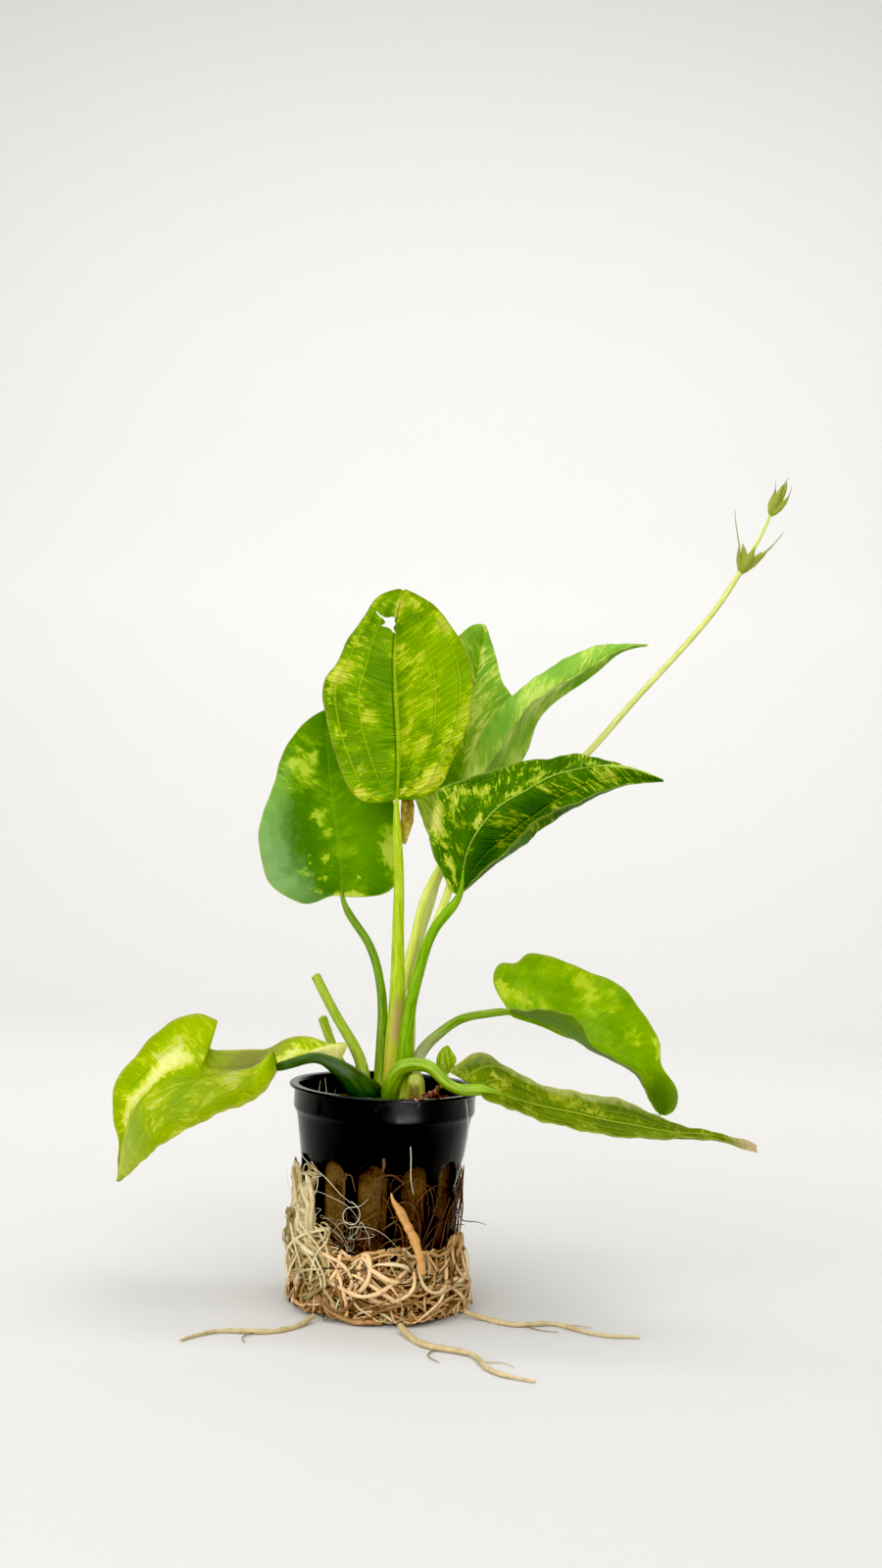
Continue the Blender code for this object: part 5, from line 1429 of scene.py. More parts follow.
def lathe(profile: tuple[tuple[float, float], ...], segments: int) -> tuple[np.ndarray, list[Face]]:
    """Turns a profile of (radius, height) around the upright axis.

    Args:
        profile: The points; radius 0 is a pole.
        segments: How many segments the turned body has.

    Returns:
        Vertices and faces.
    """
    vertices: list[Point] = []
    rings: list[list[int]] = []
    for radius, height in profile:
        count = segments if radius else 1
        rings.append(list(range(len(vertices), len(vertices) + count)))
        vertices += [tuple(around(FULL_TURN * segment / segments, radius, height)) for segment in range(count)]
    faces = []
    for lower, upper in zip(rings, rings[1:]):
        for segment in range(segments):
            following = (segment + 1) % segments
            corners = [lower[segment % len(lower)], lower[following % len(lower)],
                       upper[following % len(upper)], upper[segment % len(upper)]]
            faces.append(tuple(dict.fromkeys(corners)))
    return np.array(vertices), faces


@dataclass
class NetPot:
    """The moulded net pot: a tapered wall with tall slots, a collar, a lip and a drained floor."""

    flange_radius: float = 25.0
    flange_bottom: float = 55.2
    top: float = 56.0
    collar_radius: float = 23.65
    collar_bottom: float = 49.8
    shoulder_radius: float = 22.35
    shoulder_height: float = 46.0
    body_radius: float = 21.1
    body_height: float = 37.0
    base_radius: float = 19.0
    wall: float = 1.1
    floor: float = 1.2
    slot_count: int = 12
    slot_width: float = 7.4
    slot_bottom: float = 7.0
    slot_top: float = 39.0
    slot_turn_deg: float = -4.0
    # The bars that cut the slots start at this radius
    slot_inner: float = 15.0
    drain_count: int = 10
    drain_inner: float = 8.5
    drain_outer: float = 15.5
    drain_width: float = 3.0
    segments: int = 144
    finish: MouldedPolypropylene = MouldedPolypropylene()

    def outer_radius(self, height: float) -> float:
        """The outside radius of the slotted wall at a height."""
        heights = [0, self.body_height, self.shoulder_height, self.collar_bottom]
        radii = [self.base_radius, self.body_radius, self.shoulder_radius, self.collar_radius]
        return float(np.interp(height, heights, radii))

    def add_bar(self, shape: Shape, turn: float, points: list[Point]) -> None:
        """Adds a closed bar that is turned around the pot.

        Args:
            shape: The shape that takes it.
            turn: Its angle around the pot.
            points: Its two ends' points, as (outwards, sideways, upwards).
        """
        outwards, sideways = around(turn), np.array([-math.sin(turn), math.cos(turn), 0])
        placed = [outwards * out + sideways * beside + np.array([0, 0, up]) for out, beside, up in points]
        shape.add(np.array(placed), prism_faces(len(points) // 2))

    def cutter(self) -> bpy.types.Object:
        """Builds the bars that cut the slots and the drains.

        Returns:
            The cutter.
        """
        half = self.slot_width / 2
        shoulder = self.slot_top - half
        arch = [(half * math.cos(math.pi * step / 10), shoulder + half * math.sin(math.pi * step / 10))
                for step in range(1, 10)]
        outline = [(-half, self.slot_bottom), (half, self.slot_bottom), (half, shoulder), *arch, (-half, shoulder)]
        shape = Shape()
        for number in range(self.slot_count):
            turn = math.radians(-90 + self.slot_turn_deg + number * 360 / self.slot_count)
            self.add_bar(shape, turn, [(out, beside, up) for out in (self.slot_inner, self.flange_radius + 5)
                                       for beside, up in outline])
        edge = self.drain_width / 2
        inner, outer = self.drain_inner, self.drain_outer
        for number in range(self.drain_count):
            turn = FULL_TURN * (number + 0.5) / self.drain_count
            self.add_bar(shape, turn, [(out, beside, up) for up in (-1.0, 2 * self.floor) for out, beside
                                       in ((inner, -edge), (outer, -edge), (outer, edge), (inner, edge))])
        return shape.make("slot_cutter")

    def profile(self) -> tuple[tuple[float, float], ...]:
        """The turned outline, up the outside and down the inside, with its edges rounded."""
        return (
            (0, 0), (self.base_radius - 0.7, 0), (self.base_radius - 0.25, 0.12), (self.base_radius, 0.5),
            (self.body_radius, self.body_height), (21.35, 39), (21.8, 42.5),
            (self.shoulder_radius, self.shoulder_height), (22.6, 47.6), (22.9, 48.8), (23.3, 49.4),
            (23.55, self.collar_bottom), (self.collar_radius, 50.3), (self.collar_radius, 54.7), (23.8, 55.05),
            (24.1, self.flange_bottom), (24.75, self.flange_bottom), (24.95, 55.35), (self.flange_radius, 55.6),
            (24.92, 55.85), (24.7, self.top), (23.2, self.top), (22.8, 55.9), (22.5, 55.5), (22.4, 54.8),
            (22.35, 50.4), (21.25, self.shoulder_height), (20.0, self.body_height),
            (self.base_radius - self.wall, self.floor), (0, self.floor))

    def build(self) -> None:
        """Builds, cuts and dresses the pot."""
        shape = Shape()
        shape.add(*lathe(self.profile(), self.segments))
        pot = shape.make("fine_net_pot", 32.0)
        cutter = self.cutter()
        slots = pot.modifiers.new("Slots", "BOOLEAN")
        slots.operation = "DIFFERENCE"
        slots.solver = "EXACT"
        slots.object = cutter
        bpy.context.view_layer.update()
        cut = bpy.data.meshes.new_from_object(pot.evaluated_get(bpy.context.evaluated_depsgraph_get()))
        pot.modifiers.clear()
        pot.data = cut
        bpy.data.objects.remove(cutter)
        settle(pot, "pot_plastic", ("net_pot",), self.finish.material("net_pot_polypropylene"))


@dataclass
class WoolPlug:
    """The block of mineral wool in the pot, tufted on top, with fibres that stand off its sides."""

    profile: tuple[tuple[float, float], ...] = (
        (0, 1.5), (16.5, 1.5), (17.4, 2.7), (17.65, 8), (17.95, 14), (18.3, 20), (18.75, 26), (19.2, 32),
        (19.5, 37), (20.1, 41.5), (20.7, 46), (21.4, 48.6), (20.6, 49.8), (18, 50.2), (14, 50.3), (10, 50.2),
        (6, 50.0), (3, 50.0), (0, 50.0))
    # Above this height the block is tufted upwards instead of dented inwards
    tufts_from: float = 49.7
    fibres: int = 420
    finish: MineralWool = MineralWool()

    def build(self) -> None:
        """Builds the lumpy block and its loose fibres."""
        vertices, faces = lathe(self.profile, 110)
        for index, vertex in enumerate(vertices):
            dent = noise.noise(Vector(vertex) * 0.45) + 0.6 * noise.noise(Vector(vertex) * 1.3)
            radius = math.hypot(vertex[0], vertex[1])
            if vertex[2] > self.tufts_from:
                vertices[index, 2] += 0.9 * dent
            elif radius > 5:
                vertices[index, :2] *= 1 - 0.35 * (0.6 + dent) / radius
        shape = Shape()
        shape.add(vertices, faces)
        rng = np.random.default_rng(5)
        for _ in range(self.fibres):
            angle = rng.uniform(0, FULL_TURN)
            height = rng.uniform(7, 35)
            start = around(angle, float(np.interp(height, [1.5, 37, 46], [17.3, 19.4, 20.6])), height)
            step = rng.normal(0, 1.0, 3)
            outwards = around(angle)
            step -= outwards * np.dot(step, outwards)
            bow = outwards * rng.uniform(0.15, 0.5)
            route = [start - outwards * 0.2, start + 0.6 * step + bow, start + 1.3 * step - outwards * 0.2]
            shape.add(*swept(smooth_route(route, 7), np.full(7, rng.uniform(0.04, 0.09)), 4))
        plug = shape.make("fine_wool_plug", 180.0)
        settle(plug, "mineral_wool", ("wool_plug",), self.finish.material("mineral_wool"))


@dataclass
class Crown:
    """The stock under the stalks: overlapping pale leaf bases, with crumbs of old stalk around them."""

    centre: tuple[float, float] = (1.5, -1.0)
    foot: float = 49.6
    bases: int = 15
    crumbs: int = 150
    # The heap of old scales: how many, its middle and how far it spreads
    scales: int = 130
    heap: tuple[float, float] = (13.0, -12.5)
    heap_spread: tuple[float, float] = (3.0, 2.6)
    # Crumbs that hang over the rim: x, z and half length
    hanging: tuple[Point, ...] = ((8.3, 55.9, 1.0), (9.6, 56.4, 0.8), (7.2, 56.3, 0.6), (9.0, 54.6, 0.55),
                                  (20.4, 55.9, 0.5))
    rim_radius: float = 24.3
    # The wool's height and radius, and the heap's top
    ground: float = 50.6
    ground_radius: float = 21.3
    heap_top: float = 58.2

    def build(self) -> None:
        """Builds the leaf bases, then the crumbs, as two pieces."""
        shape = Shape()
        rng = np.random.default_rng(11)
        for number in range(self.bases):
            angle = number * 2.4
            reach = 1.5 + 6.2 * math.sqrt(number / self.bases)
            foot = np.array([self.centre[0] + 1.12 * reach * math.cos(angle),
                             self.centre[1] + 0.85 * reach * math.sin(angle), self.foot])
            lean = around(angle, 0.25, 1.0)
            tall = rng.uniform(3.4, 5.0)
            curve = smooth_route([foot, foot + 0.5 * tall * lean, foot + tall * lean], 12)
            radii = profiled(rng.uniform(2.0, 2.7), 12, [0, 0.3, 0.8, 1], [0.8, 1.0, 0.7, 0.25])
            shape.add(*swept(curve, radii, 14, ribs=5, rib_depth=0.07, flat=0.75, shade=rng.uniform()))
        settle(shape.make("fine_crown"), "crown_tissue", ("crown",), STUMP_FINISH.material("crown_leaf_bases"))

        litter = Shape()
        for _ in range(self.crumbs):
            angle = rng.uniform(0, FULL_TURN)
            reach = rng.uniform(6, 20.5)
            size = rng.uniform(0.35, 0.95)
            self.add_crumb(litter, rng, around(angle, reach, self.ground + rng.uniform(-0.1, 0.6)), size)
        # A heap of old scales lies right of the stump, and a few hang over the rim
        for _ in range(self.scales):
            spread = rng.normal(size=2) * self.heap_spread
            top = max(51.0, self.heap_top - 0.9 * math.hypot(*spread))
            place = np.array([*(self.heap + spread), rng.uniform(max(self.ground, top - 3.5), top)])
            if math.hypot(place[0], place[1]) < self.ground_radius:
                self.add_crumb(litter, rng, place, rng.uniform(0.5, 1.4))
        for x, z, size in self.hanging:
            y = -math.sqrt(max(self.rim_radius**2 - x * x, 0.0)) + (0.0 if z > 55 else -0.2)
            self.add_crumb(litter, rng, np.array([x, y, z]), size)
        finish = DriedTissue("5c3420", "a4784c", "2a160c").material("dried_crumbs")
        settle(litter.make("crown_crumbs", 40.0), "withered_leaf", (), finish)

    def add_crumb(self, shape: Shape, rng: np.random.Generator, place: np.ndarray, size: float) -> None:
        """Adds one broken flake.

        Args:
            shape: The shape that takes it.
            rng: Where its random sizes come from.
            place: Its middle.
            size: Its half length.
        """
        lengths = size * np.array([1.0, rng.uniform(0.5, 0.8), rng.uniform(0.25, 0.5)])
        axes = np.linalg.qr(rng.normal(size=(3, 3)))[0]
        corners = [around(math.pi * step / 3 + rng.uniform(-0.3, 0.3), 1.0, z * rng.uniform(0.6, 1.0))
                   for z in (-1, 1) for step in range(6)]
        shape.add(place + (np.array(corners) * lengths) @ axes, prism_faces(6))


@dataclass
class WitheredLobe:
    """The small dried flap beside the top leaf's stalk, crinkled, with a frayed edge."""

    near: tuple[Point, ...] = ((0.6, -3.6, 131.2), (0.7, -3.6, 127.5), (0.8, -3.5, 124), (1.0, -3.5, 119.6))
    far: tuple[Point, ...] = ((3.8, -3.2, 131.0), (4.1, -2.9, 127.5), (3.7, -3.0, 123.6), (2.2, -3.5, 118.8))
    half_thickness: float = 0.12

    def build(self) -> None:
        """Builds the flap as a thin crinkled sheet."""
        rows, columns = 26, 12
        parts = np.linspace(0, 1, columns)[None, :, None]
        near, far = (smooth_route(list(edge), rows)[:, None] for edge in (self.near, self.far))
        grid = near * (1 - parts) + far * parts
        for row in range(rows):
            for column in range(columns):
                crinkle = noise.noise(Vector(grid[row, column]) * 0.9)
                grid[row, column] += np.array([0.25 * crinkle * column / columns, 0.8 * crinkle, 0])
        faces, _ = sheet_faces(np.zeros((rows - 1, columns - 1), bool))
        normals = unit(np.cross(np.gradient(grid, axis=0), np.gradient(grid, axis=1)))
        shape = Shape()
        shape.add(np.vstack([(grid + off * normals).reshape(-1, 3)
                             for off in (self.half_thickness, -self.half_thickness)]), faces)
        flap = shape.make("fine_withered_lobe")
        settle(flap, "withered_leaf", ("withered_lobe",), DriedTissue().material("dried_flap"))


# Roots


@dataclass
class RootTangle:
    """Many roots that wander over the pot's wall between two angles and two heights."""

    name: str
    slot: str
    nodes: tuple[str, ...]
    finish: RootBark
    count: int
    first_deg: float
    last_deg: float
    low: float
    high: float
    thin: float
    thick: float
    length: tuple[float, float]
    curl: float
    depth: float
    seed: int
    # How strongly the roots head for one side: 0 wanders freely, 1 hangs down
    hang: float = 0.0
    follows_mat: bool = False
    sides: int = 6
    # The length of one step of a root's walk
    step: float = 1.1

    def envelope(self, angle: float) -> tuple[float, float]:
        """The tangle's thickness and height at an angle, as on the solid that it stands for.

        Args:
            angle: The angle around the pot.

        Returns:
            Thickness and height in millimetres.
        """
        if not self.follows_mat:
            return self.depth, self.high
        place = Vector(around(angle))
        swell = noise.noise(place * 2.2 + Vector((5, 1, 0)))
        ripple = noise.noise(place * 7 + Vector((2, 9, 0)))
        front = max(0.0, math.cos(angle - math.radians(-50)))
        return 3.4 + 2.6 * front + 1.4 * swell + 0.6 * ripple, 16.5 + 2.0 * front + 3.0 * swell + 1.5 * ripple

    def wander(self, rng: np.random.Generator, pot: NetPot) -> np.ndarray:
        """Walks one root over the wall.

        Args:
            rng: Where its random turns come from.
            pot: The pot that it grows on.

        Returns:
            The root's centre line.
        """
        first, last = math.radians(self.first_deg) - 0.06, math.radians(self.last_deg) + 0.06
        angle = math.radians(rng.uniform(self.first_deg, self.last_deg))
        height = rng.uniform(self.low, self.envelope(angle)[1])
        heading = rng.uniform(0, FULL_TURN)
        turn = rng.normal(0, self.curl)
        layer = rng.uniform(0.05, 1.0) ** 0.8
        phase = rng.uniform(0, FULL_TURN)
        points = []
        for number in range(max(6, int(rng.uniform(*self.length) / self.step))):
            thickness, ceiling = self.envelope(angle)
            turn = 0.88 * turn + rng.normal(0, 0.35 * self.curl)
            heading += turn
            heading += 0.5 * self.hang * math.sin(-math.pi / 2 - heading)
            radius = pot.outer_radius(height)
            angle += self.step * math.cos(heading) / radius
            height += self.step * math.sin(heading)
            if height < self.low or height > ceiling:
                heading = -heading
                height = min(max(height, self.low), max(ceiling, self.low))
            if self.last_deg - self.first_deg < 350 and not first < angle < last:
                heading = math.pi - heading
                angle = min(max(angle, first), last)
            sway = 0.5 + 0.5 * math.sin(phase + number * 0.23)
            room = thickness * (1.1 - 0.75 * (height / max(ceiling, 1)) ** 2 if self.follows_mat else 1.0)
            points.append(around(angle, radius + (0.35 + room * layer * (0.35 + 0.65 * sway)), height))
        return np.array(points)

    def build(self, pot: NetPot) -> None:
        """Builds and dresses the tangle.

        Args:
            pot: The pot that it grows on.
        """
        rng = np.random.default_rng(self.seed)
        shape = Shape()
        for _ in range(self.count):
            path = self.wander(rng, pot)
            rings = max(10, int(len(path) * 1.3))
            curve = smooth_route(path[::2] if len(path) > 9 else path, rings)
            share = rng.uniform(0, 1) ** 1.6
            radius = self.thin + (self.thick - self.thin) * share
            curve[:, 2] = np.maximum(curve[:, 2], radius + 0.05)
            radii = profiled(radius, rings, [0, 0.1, 0.75, 1], [0.7, 1, 0.9, 0.3])
            radii = radii * (1 + 0.12 * np.sin(np.arange(rings) * rng.uniform(0.6, 1.4)))
            shape.add(*swept(curve, radii, self.sides, shade=rng.uniform()))
        settle(shape.make(self.name, 180.0), self.slot, self.nodes, self.finish.material(self.name))


TANGLES = [
    RootTangle("fine_root_mat", "brown_root", ("root_mat",), BROWN_ROOT, 235, -180, 180, 0.8, 22, 0.22, 0.66,
        (22, 60), 0.19, 4.0, 21, hang=0.03, follows_mat=True, sides=7),
    RootTangle("root_mat_rootlets", "brown_root", (), RUSTY_ROOT, 150, -180, 180, 0.5, 22, 0.10, 0.22, (15, 45), 0.25,
        4.0, 22, follows_mat=True, sides=5),
    RootTangle("root_mat_pale_roots", "pale_root", (), CREAM_ROOT, 60, -180, 180, 0.8, 20, 0.3, 0.8, (18, 50), 0.18,
        4.0, 23, follows_mat=True, sides=8),
    RootTangle("fine_pale_root_bundle", "pale_root", ("pale_root_bundle",), CREAM_ROOT, 60, 176, 220, 12, 37, 0.28,
        0.85, (18, 42), 0.10, 2.6, 31, hang=0.40, sides=8),
    RootTangle("left_pale_roots", "pale_root", (), CREAM_ROOT, 46, 178, 236, 8, 25, 0.25, 0.75, (14, 34), 0.12, 5.2,
        37, hang=0.30, sides=8),
    RootTangle("pale_rootlets", "pale_root", (), WHITE_ROOT, 34, 176, 226, 12, 36, 0.05, 0.10, (12, 34), 0.20, 3.0,
        32, hang=0.2, sides=5),
    RootTangle("front_rootlets", "pale_root", (), WHITE_ROOT, 9, 228, 266, 17, 25, 0.05, 0.09, (12, 26), 0.28, 1.6,
        33, sides=5),
    RootTangle("front_dark_roots", "brown_root", (), RUSTY_ROOT, 16, 222, 268, 15, 24, 0.12, 0.30, (12, 26), 0.24,
        1.6, 36, sides=6),
    RootTangle("rusty_roots", "brown_root", (), RUSTY_ROOT, 74, -112, -8, 12, 37, 0.10, 0.30, (10, 34), 0.12, 0.7, 34,
        hang=0.5, sides=5),
    RootTangle("back_rootlets", "pale_root", (), CREAM_ROOT, 50, 0, 176, 10, 34, 0.10, 0.36, (10, 36), 0.16, 1.2, 35,
        hang=0.3, sides=5),
]


@dataclass
class LooseThreads:
    """Single fine roots and hairs that stand clear of the tangles: (route, radius, shade) of each."""

    name: str
    slot: str
    finish: RootBark
    threads: list[tuple[list[Point], float, float]]

    def build(self) -> None:
        """Builds and dresses the threads as one piece."""
        shape = Shape()
        for route, radius, shade in self.threads:
            radii = profiled(radius, 34, [0, 0.7, 1], [1, 0.9, 0.45])
            shape.add(*swept(smooth_route(route, 34), radii, 6, shade=shade))
        settle(shape.make(self.name, 180.0), self.slot, (), self.finish.material(self.name))


THREADS = [
    LooseThreads("white_threads", "pale_root", WHITE_ROOT, [
        ([(-20.2, -9.5, 38.5), (-17.5, -14, 37), (-13, -17.8, 34.5), (-9.5, -19.8, 31.5), (-6.5, -20.9, 29.5)], 0.10,
         0.9),
        ([(-6.5, -21.2, 30), (-4.2, -21.8, 27.5), (-5.6, -21.6, 24.6), (-8.2, -21, 25.4), (-7.6, -21.2, 28.2),
         (-4.6, -21.8, 29), (-2.4, -21.8, 31)], 0.10, 0.95),
        ([(-18, -13, 30), (-15, -16.6, 31), (-11.5, -19.4, 30.4), (-7, -21.4, 28.6), (-4, -21.9, 25)], 0.06, 0.9),
        ([(-17.5, -12.5, 37.6), (-15.4, -15.4, 33), (-17, -13.8, 29), (-18.6, -12.4, 33), (-17.2, -13.6, 36)], 0.15,
         0.7),
        ([(-7, -21.4, 23.5), (-2.5, -22.4, 24.2), (2, -22.6, 22.6), (5.5, -22.5, 19.5)], 0.06, 0.9),
        ([(7.5, -20.8, 44), (7.8, -21, 40), (8, -21.4, 36), (8.8, -21.6, 32.6)], 0.12, 1.0),
        ([(20.6, -12.6, 56.2), (21.6, -12.8, 50), (21.4, -12.4, 43), (20.4, -12, 38.5), (18.6, -13, 32)], 0.1, 0.6),
        ([(-16, -8.5, 50.5), (-16.6, -9.5, 54), (-16.4, -9.8, 57.6)], 0.08, 1.0),
        ([(-14, -9.5, 50.5), (-14.6, -10.4, 54.5), (-15.2, -10.8, 58.6)], 0.08, 1.0),
        ([(-12.4, -9, 50.5), (-12.8, -11, 53.5), (-12.2, -12, 56)], 0.07, 1.0),
        ([(-5.5, -2, 55), (-5.6, -1, 60), (-5.0, -0.4, 64.5)], 0.07, 1.0),
        ([(-21, -8, 26), (-23.2, -8.6, 30), (-23.8, -8.8, 34.5)], 0.08, 0.8),
    ]),
    LooseThreads("dark_threads", "brown_root", RUSTY_ROOT, [
        ([(18.6, -13.4, 33.5), (19.8, -12.6, 28), (21.6, -11.6, 24.5), (24.6, -11.2, 24.2), (27.5, -11.4, 23.6)],
         0.16, 0.3),
        ([(19.6, -10, 38), (20.6, -9.6, 33), (21.4, -9.4, 27), (20.6, -10.4, 21)], 0.2, 0.4),
        ([(12, -18.6, 30), (15.5, -17.4, 26), (19, -14.4, 24), (22, -11.4, 23.4)], 0.18, 0.2),
        ([(0.8, -21.8, 40), (1.2, -21.6, 36), (0.6, -21.8, 31), (1.6, -22, 26)], 0.22, 0.5),
        ([(1.0, -22.0, 41.0), (1.2, -22.1, 39.6), (0.8, -22.0, 37.8)], 0.42, 0.95),
    ]),
]


def root_stem(name: str, route: list[Point], radii: list[float], finish: RootBark, slot: str,
              threads: tuple[tuple[list[Point], float], ...] = ()) -> Stem:
    """Describes a single thick root.

    Args:
        name: The node that it stands for.
        route: Its centre line.
        radii: Its radius at each of those points.
        finish: Its bark.
        slot: The record's material slot.
        threads: Rootlets on it.

    Returns:
        The stem that builds it.
    """
    return Stem("fine_" + name, route, radii, finish, slot, (name,), ribs=3, rings=70, sides=12, wobble=0.16,
                threads=threads)


ROOTS = [
    root_stem("tan_root",
        [(3.2, -21.9, 32.6), (3.7, -22.2, 31.2), (5.4, -22.3, 28.8), (7.4, -22.2, 25.3), (9.4, -22.6, 21.8),
         (11, -23.6, 18), (12, -24, 14)],
        [0.2, 0.55, 0.9, 1.1, 1.15, 1.1, 0.8], TAN_ROOT, "tan_root"),
    root_stem("trailing_root_1",
        [(23, -11.5, 1.6), (27.5, -13, 0.8), (36, -17, 0.7), (45, -15, 0.7), (54, -21, 0.65), (66, -22, 0.5)],
        [0.7, 0.65, 0.6, 0.55, 0.5, 0.3], CREAM_ROOT, "pale_root",
        (([(38, -16.6, 0.5), (41, -19.5, 0.4), (46, -20.5, 0.35)], 0.2), ([(47, -16, 0.5), (51, -14.5, 0.4),
          (55, -15.8, 0.35)], 0.18))),
    root_stem("trailing_root_2",
        [(7, -26, 1.8), (9, -30, 0.9), (15, -38, 0.8), (24, -42, 0.8), (28, -52, 0.7), (38, -58, 0.5)],
        [0.8, 0.75, 0.7, 0.6, 0.55, 0.3], CREAM_ROOT, "pale_root",
        (([(16, -38.5, 0.5), (14, -43, 0.4), (16.5, -47.5, 0.35)], 0.22), ([(26, -47, 0.5), (31, -46, 0.4),
          (34, -48.6, 0.35)], 0.18))),
    root_stem("trailing_root_3",
        [(-14.5, -21, 1.6), (-17, -25, 0.8), (-25, -32, 0.7), (-36, -33, 0.65), (-44, -41, 0.5)],
        [0.7, 0.65, 0.6, 0.5, 0.3], CREAM_ROOT, "pale_root",
        (([(-27, -32, 0.5), (-30, -36, 0.4), (-29, -40, 0.35)], 0.2),)),
    root_stem("trailing_root_4",
        [(-7, 24, 1.6), (-8, 27.5, 0.8), (-14, 36, 0.7), (-10, 45, 0.65), (-17, 54, 0.5)],
        [0.7, 0.65, 0.6, 0.5, 0.3], CREAM_ROOT, "pale_root",
        (([(-13, 37, 0.5), (-18, 40, 0.4), (-21, 38.6, 0.35)], 0.2),)),
]


# Studio


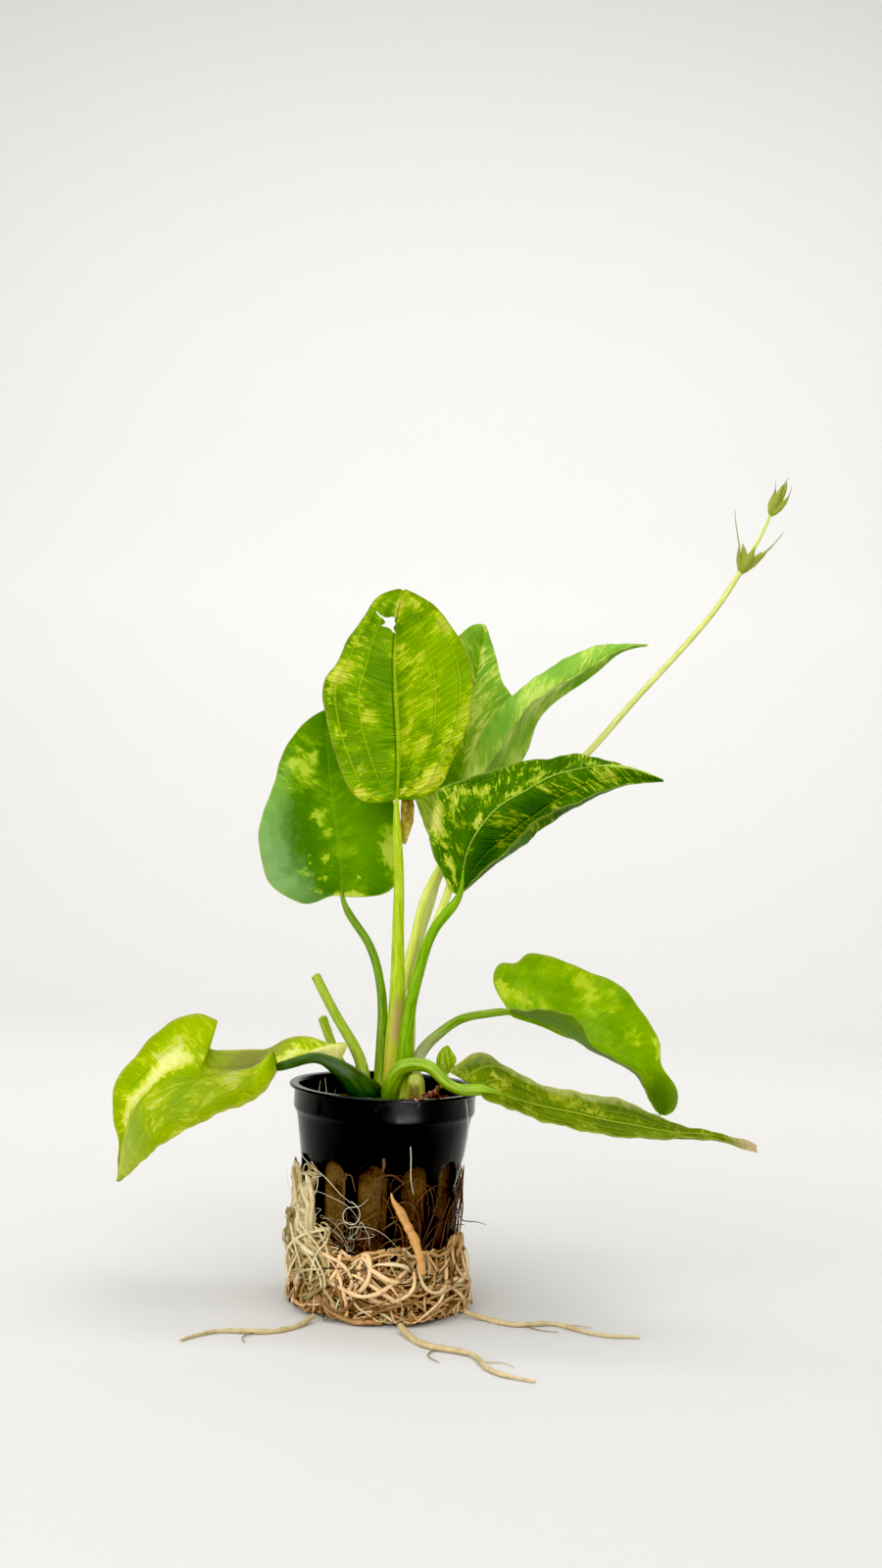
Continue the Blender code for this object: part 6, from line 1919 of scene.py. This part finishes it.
@dataclass
class Studio:
    """A plain pale sweep, soft lights and the camera at the photograph's viewing angle."""

    camera_place: Point = (10.8, -413.3, 117.8)
    pitch_deg: float = 2.42
    roll_deg: float = 2.7
    # With a 36 mm sensor height, a 36 mm lens sees 1600 pixels' width of focal length in 1600 rows
    lens: float = 36.0
    sensor: float = 36.0
    sweep_near: float = -1.6
    sweep_far: float = 1.1
    sweep_bend: float = 0.5
    sweep_height: float = 2.2
    sweep_half_width: float = 2.6
    # What the soft lights point at, in metres
    target: Point = (0, 0, 0.1)
    room_strength: float = 1.08
    black_level: float = 0.016

    def build_camera(self) -> None:
        """Places the camera."""
        pitch = math.radians(self.pitch_deg)
        roll = math.radians(self.roll_deg)
        forward = Vector((0, math.cos(pitch), math.sin(pitch)))
        level_right = Vector((1, 0, 0))
        level_up = Vector((0, -math.sin(pitch), math.cos(pitch)))
        right = math.cos(roll) * level_right + math.sin(roll) * level_up
        up = -math.sin(roll) * level_right + math.cos(roll) * level_up
        data = bpy.data.cameras.new("camera")
        data.lens = self.lens
        data.sensor_fit = "VERTICAL"
        data.sensor_height = data.sensor_width = self.sensor
        data.clip_start = 0.01
        data.clip_end = 50.0
        camera = link("camera", data)
        rows = [(right[i], up[i], -forward[i], self.camera_place[i] * MM) for i in range(3)]
        camera.matrix_world = Matrix((*rows, (0, 0, 0, 1)))
        bpy.context.scene.camera = camera

    def build_sweep(self) -> None:
        """Builds the floor that curves up into the backdrop."""
        start = self.sweep_far - self.sweep_bend
        profile = [(self.sweep_near, 0.0), (0.0, 0.0), (start, 0.0)]
        for step in range(1, 13):
            angle = math.pi / 2 * step / 12
            profile.append((start + self.sweep_bend * math.sin(angle), self.sweep_bend * (1 - math.cos(angle))))
        profile.append((self.sweep_far, self.sweep_height))
        vertices = [(side * self.sweep_half_width, y, z) for y, z in profile for side in (-1, 1)]
        faces = [(2 * i, 2 * i + 1, 2 * i + 3, 2 * i + 2) for i in range(len(profile) - 1)]
        mesh = bpy.data.meshes.new("sweep")
        mesh.from_pydata(vertices, [], faces)
        mesh.shade_smooth()
        mesh.materials.append(StudioPaper().material("white_paper"))
        link("sweep", mesh)

    def add_light(self, name: str, place: Point, target: Point, size: tuple[float, float], watts: float, tint: str,
                  spread_deg: float = 180.0) -> bpy.types.Object:
        """Adds a soft rectangular light.

        Args:
            name: Its name.
            place: Where it is, in metres.
            target: What it points at, in metres.
            size: Its width and height in metres.
            watts: Its power.
            tint: Its colour.
            spread_deg: How wide its beam opens.

        Returns:
            The light.
        """
        data = bpy.data.lights.new(name, "AREA")
        data.shape = "RECTANGLE"
        data.size, data.size_y = size
        data.energy = watts
        data.spread = math.radians(spread_deg)
        data.color = linear(tint)[:3]
        light = link(name, data)
        light.location = place
        light.rotation_euler = (Vector(target) - Vector(place)).to_track_quat("-Z", "Y").to_euler()
        return light

    def build_lights(self) -> None:
        """Adds the lights and the pale surroundings."""
        world = bpy.data.worlds.new("surroundings")
        bpy.context.scene.world = world
        world.use_nodes = True
        background = world.node_tree.nodes["Background"]
        # The room is darker behind the camera and brighter above, as the black pot shows
        net = Graph(world.node_tree)
        _, depth, height = net.split(net.add("TexCoord").outputs["Generated"])
        lit = net.grow(depth, 0.5, net.grow(height, 0.6, 0.2))
        shade = net.ramp(lit, (0.0, "5c5c5e"), (0.35, "a8a8a8"), (0.9, "f8f8f6"))
        net.tree.links.new(shade, background.inputs["Color"])
        background.inputs["Strength"].default_value = self.room_strength
        self.add_light("window_left", (-0.75, -0.55, 0.55), self.target, (0.5, 0.9), 3.6, "fbfdff")
        self.add_light("front_key", (-0.25, -0.95, 0.50), self.target, (0.8, 0.6), 6.9, "fffefa")
        # The undersides that face the camera are lit from low down, where the pot doesn't mirror it
        fill = self.add_light("low_fill", (0.35, -0.8, 0.08), self.target, (0.5, 0.12), 0.7, "fffefa")
        fill.visible_glossy = False
        self.add_light("lamp_above", (0.2, -0.25, 1.1), self.target, (0.8, 0.8), 4.8, "fffefc")
        # A low narrow lamp in front gives the small light spot on the collar
        glint = self.add_light("collar_glint", (0.116, -0.243, 0.012), (0.0056, -0.023, 0.052), (0.03, 0.01), 0.004,
                               "ffffff", 3.0)
        glint.visible_diffuse = False
        self.add_light("backdrop_glow", (0.12, 0.25, 0.8), (0.12, 1.1, 0.30), (1.9, 0.5), 8.0, "fffefc")

    def build(self) -> None:
        """Builds the camera, the sweep and the lights."""
        self.build_camera()
        self.build_sweep()
        self.build_lights()
        scene = bpy.context.scene
        scene.view_settings.view_transform = "Standard"
        scene.view_settings.look = "None"
        # The photograph's deepest shades are clipped to black
        scene.view_settings.use_curve_mapping = True
        scene.view_settings.curve_mapping.black_level = (self.black_level,) * 3
        scene.cycles.use_denoising = True


def corners(box: tuple) -> list[list[float]]:
    """Turns a box's two corners into plain lists of numbers."""
    return [[float(value) for value in corner] for corner in box]


def main() -> None:
    """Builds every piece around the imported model, in order."""
    noise.seed_set(NOISE_SEED)
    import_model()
    studio = Studio()
    studio.build()
    pot = NetPot()
    pot.build()
    WoolPlug().build()
    Crown().build()
    for leaf in LEAVES:
        leaf.build()
    WitheredLobe().build()
    for stem in STEMS + ROOTS:
        stem.build()
    for knot in KNOTS:
        knot.build()
    for tangle in TANGLES:
        tangle.build(pot)
    for threads in THREADS:
        threads.build()


if __name__ == "__main__":
    logging.basicConfig(level=logging.INFO, format="%(name)s: %(message)s")
    main()
